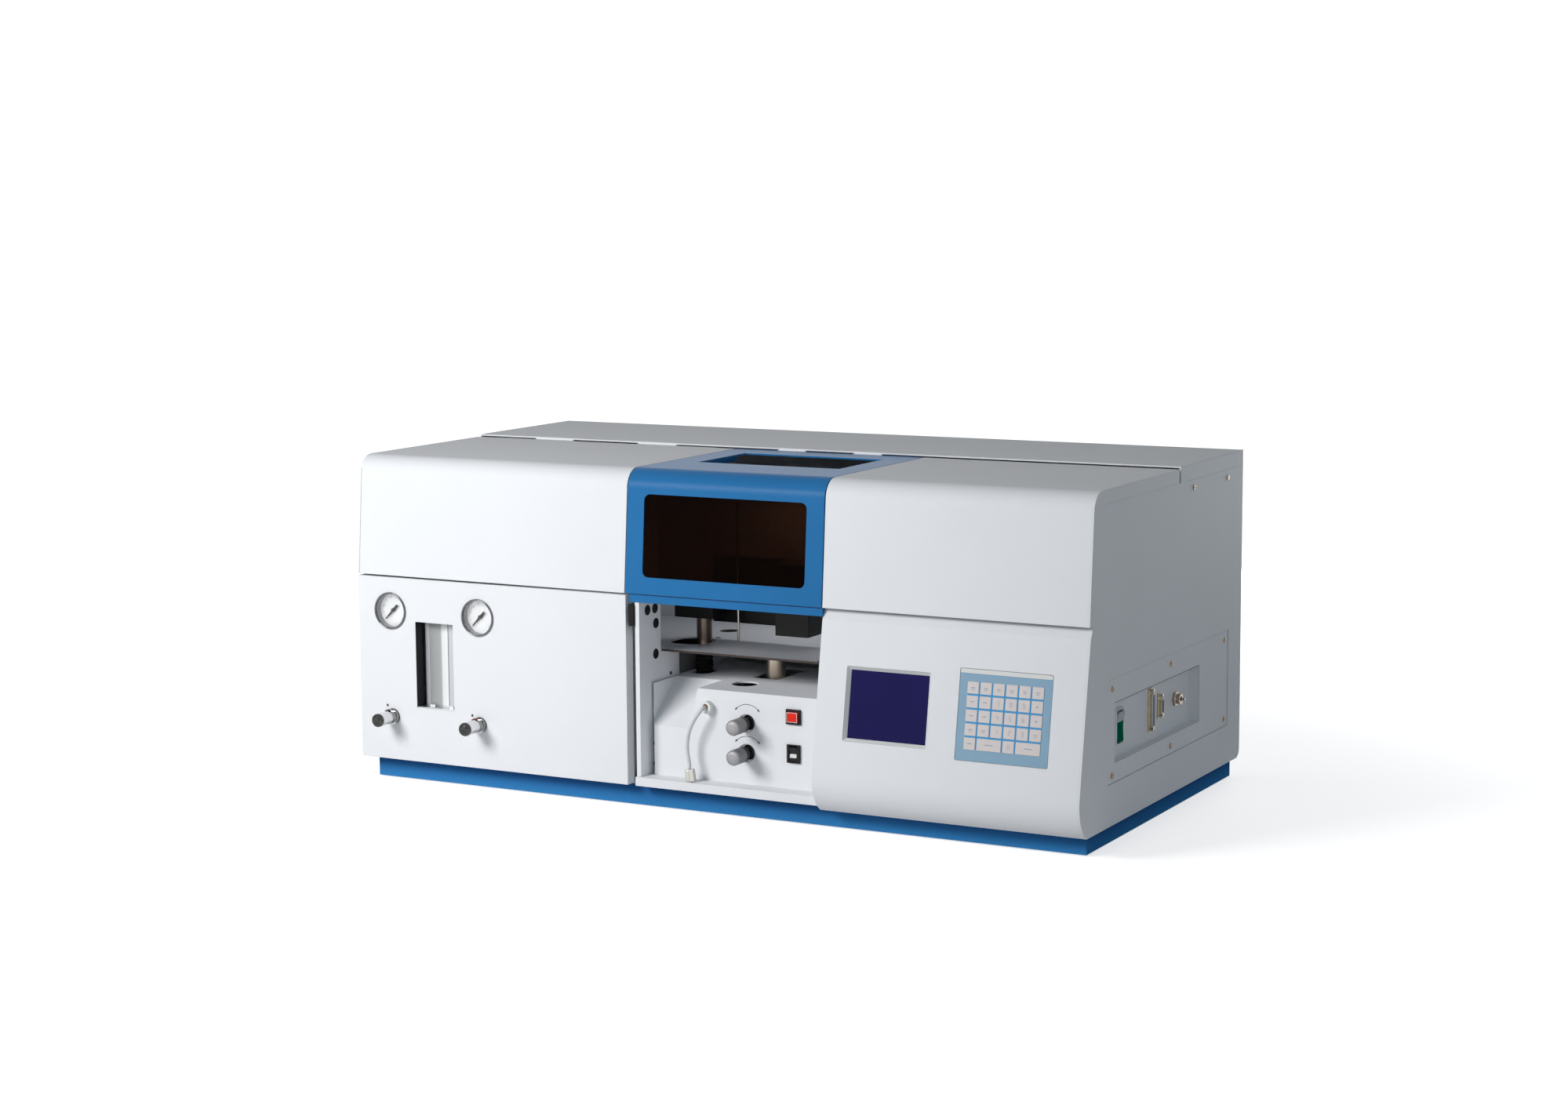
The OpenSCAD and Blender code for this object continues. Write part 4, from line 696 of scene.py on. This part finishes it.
# ---- connectors in the side pocket
def make_ports():
    """Inserts, contacts and screws of the data ports, and thin dark lines painted as the shadows along the plate and
    its pocket.
    """
    holes, screws, inserts, core = bmesh.new(), bmesh.new(), bmesh.new(), bmesh.new()
    side = on_side(POCKET + 4.7)
    flat(inserts, box_outline(PORTS[0], PORT_Z, 7.6, 38.4, 1.2), side, 0.75)
    flat(core, box_outline(PORTS[1], PORT_Z, 7.6, 15.6, 1.2), side, 0.75)
    for y, count, half in ((PORTS[0], 13, 26.5), (PORTS[1], 5, 15.4)):
        for column, n in ((-1.42, count), (1.42, count - 1)):
            for k in range(n):
                z = PORT_Z + (k - (n - 1) / 2) * 2.76
                lathe(holes, [(0, 0.0), (0.55, 0.0), (0.55, 0.12), (0, 0.12)],
                      (POCKET + 5.42, y + column, z), (1, 0, 0), 10)
        for way in (-1, 1):
            lathe(screws, [(0, 0), (2.6, 0), (2.6, 4.4), (1.5, 5.0), (1.5, 3.0), (0, 3.0)],
                  (POCKET + 1.5, y, PORT_Z + way * (half - 3.0)), (1, 0, 0), 6)
    # Thin dark lines painted as the shadows at the plate's edges and at the pocket's top and right edges.
    shadow_lines = bmesh.new()
    for u, v, w, h in ((24.5, 200.8, 408.0, 0.5), (24.5, 77.2, 408.0, 0.5),
                       (-179.3, 139.0, 0.5, 124.0), (228.3, 139.0, 0.5, 124.0),
                       (-17.0, 171.4, 281.0, 0.8), (123.9, 135.0, 0.6, 71.0)):
        flat(shadow_lines, box_outline(u, v, w, h), on_side(PLATE), 0.08)
    piece("plate_shadow_lines", shadow_lines, print_grey_and_painted_shade)
    piece("wide_port_insert", inserts, port_blue)
    piece("small_port_insert", core, black)
    piece("port_holes", holes, black)
    piece("port_jacks", screws, steel)


make_ports()


# ---- studio
def combine(tree, operation, first, second):
    """The result of a maths node on a socket and another socket or number."""
    node = tree.nodes.new("ShaderNodeMath")
    node.operation = operation
    tree.links.new(first, node.inputs[0])
    if isinstance(second, float):
        node.inputs[1].default_value = second
    else:
        tree.links.new(second, node.inputs[1])
    return node.outputs[0]


def direct_rays(tree):
    """1 for the rays that see the background: from the camera, off a gloss or through glass."""
    path = tree.nodes.new("ShaderNodeLightPath").outputs
    total = path["Is Camera Ray"]
    for ray in ("Is Glossy Ray", "Is Transmission Ray"):
        total = combine(tree, "MAXIMUM", total, path[ray])
    return total


def make_floor():
    """A pale floor that glows where it is seen, less near the part, so that a soft shadow shows there."""
    mesh = bpy.data.meshes.new("floor")
    mesh.from_pydata([(-9, -9, 0), (9, -9, 0), (9, 9, 0), (-9, 9, 0)], [], [(0, 1, 2, 3)])
    floor = bpy.data.objects.new("floor", mesh)
    scene.collection.objects.link(floor)
    mat, tree, shader = node_tree("pale_floor")
    shader.inputs["Roughness"].default_value = 0.9
    tree.links.new(ramp(tree, noise(tree, 2.0), (0.78, 0.78, 0.78), (0.8, 0.8, 0.8)), shader.inputs["Base Color"])
    coord = tree.nodes.new("ShaderNodeTexCoord")
    away = tree.nodes.new("ShaderNodeVectorMath")
    away.operation = "LENGTH"
    tree.links.new(coord.outputs["Object"], away.inputs[0])
    lift = tree.nodes.new("ShaderNodeMapRange")
    lift.interpolation_type = "SMOOTHSTEP"
    for socket, value in (("From Min", 0.5), ("From Max", 1.5), ("To Min", 0.66), ("To Max", 1.0)):
        lift.inputs[socket].default_value = value
    tree.links.new(away.outputs["Value"], lift.inputs["Value"])
    shader.inputs["Emission Color"].default_value = (1, 1, 1, 1)
    tree.links.new(combine(tree, "MULTIPLY", direct_rays(tree), lift.outputs["Result"]),
                   shader.inputs["Emission Strength"])
    mesh.materials.append(mat)


def make_world():
    """Dim and uneven room light, and a white background for the rays that see it."""
    world = bpy.data.worlds.new("studio")
    world.use_nodes = True
    scene.world = world
    tree = world.node_tree
    shader = tree.nodes["Background"]
    coord = tree.nodes.new("ShaderNodeTexCoord")
    slope = tree.nodes.new("ShaderNodeVectorMath")
    slope.operation = "DOT_PRODUCT"
    slope.inputs[1].default_value = SKY_SLOPE
    tree.links.new(coord.outputs["Generated"], slope.inputs[0])
    dim = combine(tree, "MAXIMUM", combine(tree, "ADD", slope.outputs["Value"], SKY_LEVEL), SKY_LEAST)
    direct = direct_rays(tree)
    level = tree.nodes.new("ShaderNodeMix")
    tree.links.new(direct, level.inputs["Factor"])
    tree.links.new(dim, level.inputs["A"])
    level.inputs["B"].default_value = 1.0
    tint = tree.nodes.new("ShaderNodeMix")
    tint.data_type = "RGBA"
    tree.links.new(direct, tint.inputs["Factor"])
    tint.inputs[6].default_value = (0.88, 1.0, 1.1, 1)
    tint.inputs[7].default_value = (1, 1, 1, 1)
    tree.links.new(tint.outputs[2], shader.inputs["Color"])
    tree.links.new(level.outputs["Result"], shader.inputs["Strength"])


def area(name, at, target, size, power):
    """A rectangular lamp, in metres and watts, that the camera does not see."""
    data = bpy.data.lights.new(name, "AREA")
    data.shape = "RECTANGLE"
    data.size, data.size_y = size
    data.energy = power
    light = bpy.data.objects.new(name, data)
    light.location = at
    light.rotation_euler = (Vector(target) - Vector(at)).to_track_quat("-Z", "Y").to_euler()
    light.visible_camera = False
    scene.collection.objects.link(light)


make_floor()
make_world()
area("key", (-0.95, -1.95, 1.2), (0.0, -0.2, 0.2), (0.9, 0.7), 37)
area("bay", (0.03, 0.0, 0.375), (0.03, -0.02, 0.2), (0.2, 0.04), 0.2)
area("back", (0.2, 2.1, 0.22), (0.0, 0.3, 0.2), (1.4, 0.28), 14)
scene.view_settings.view_transform = "Standard"
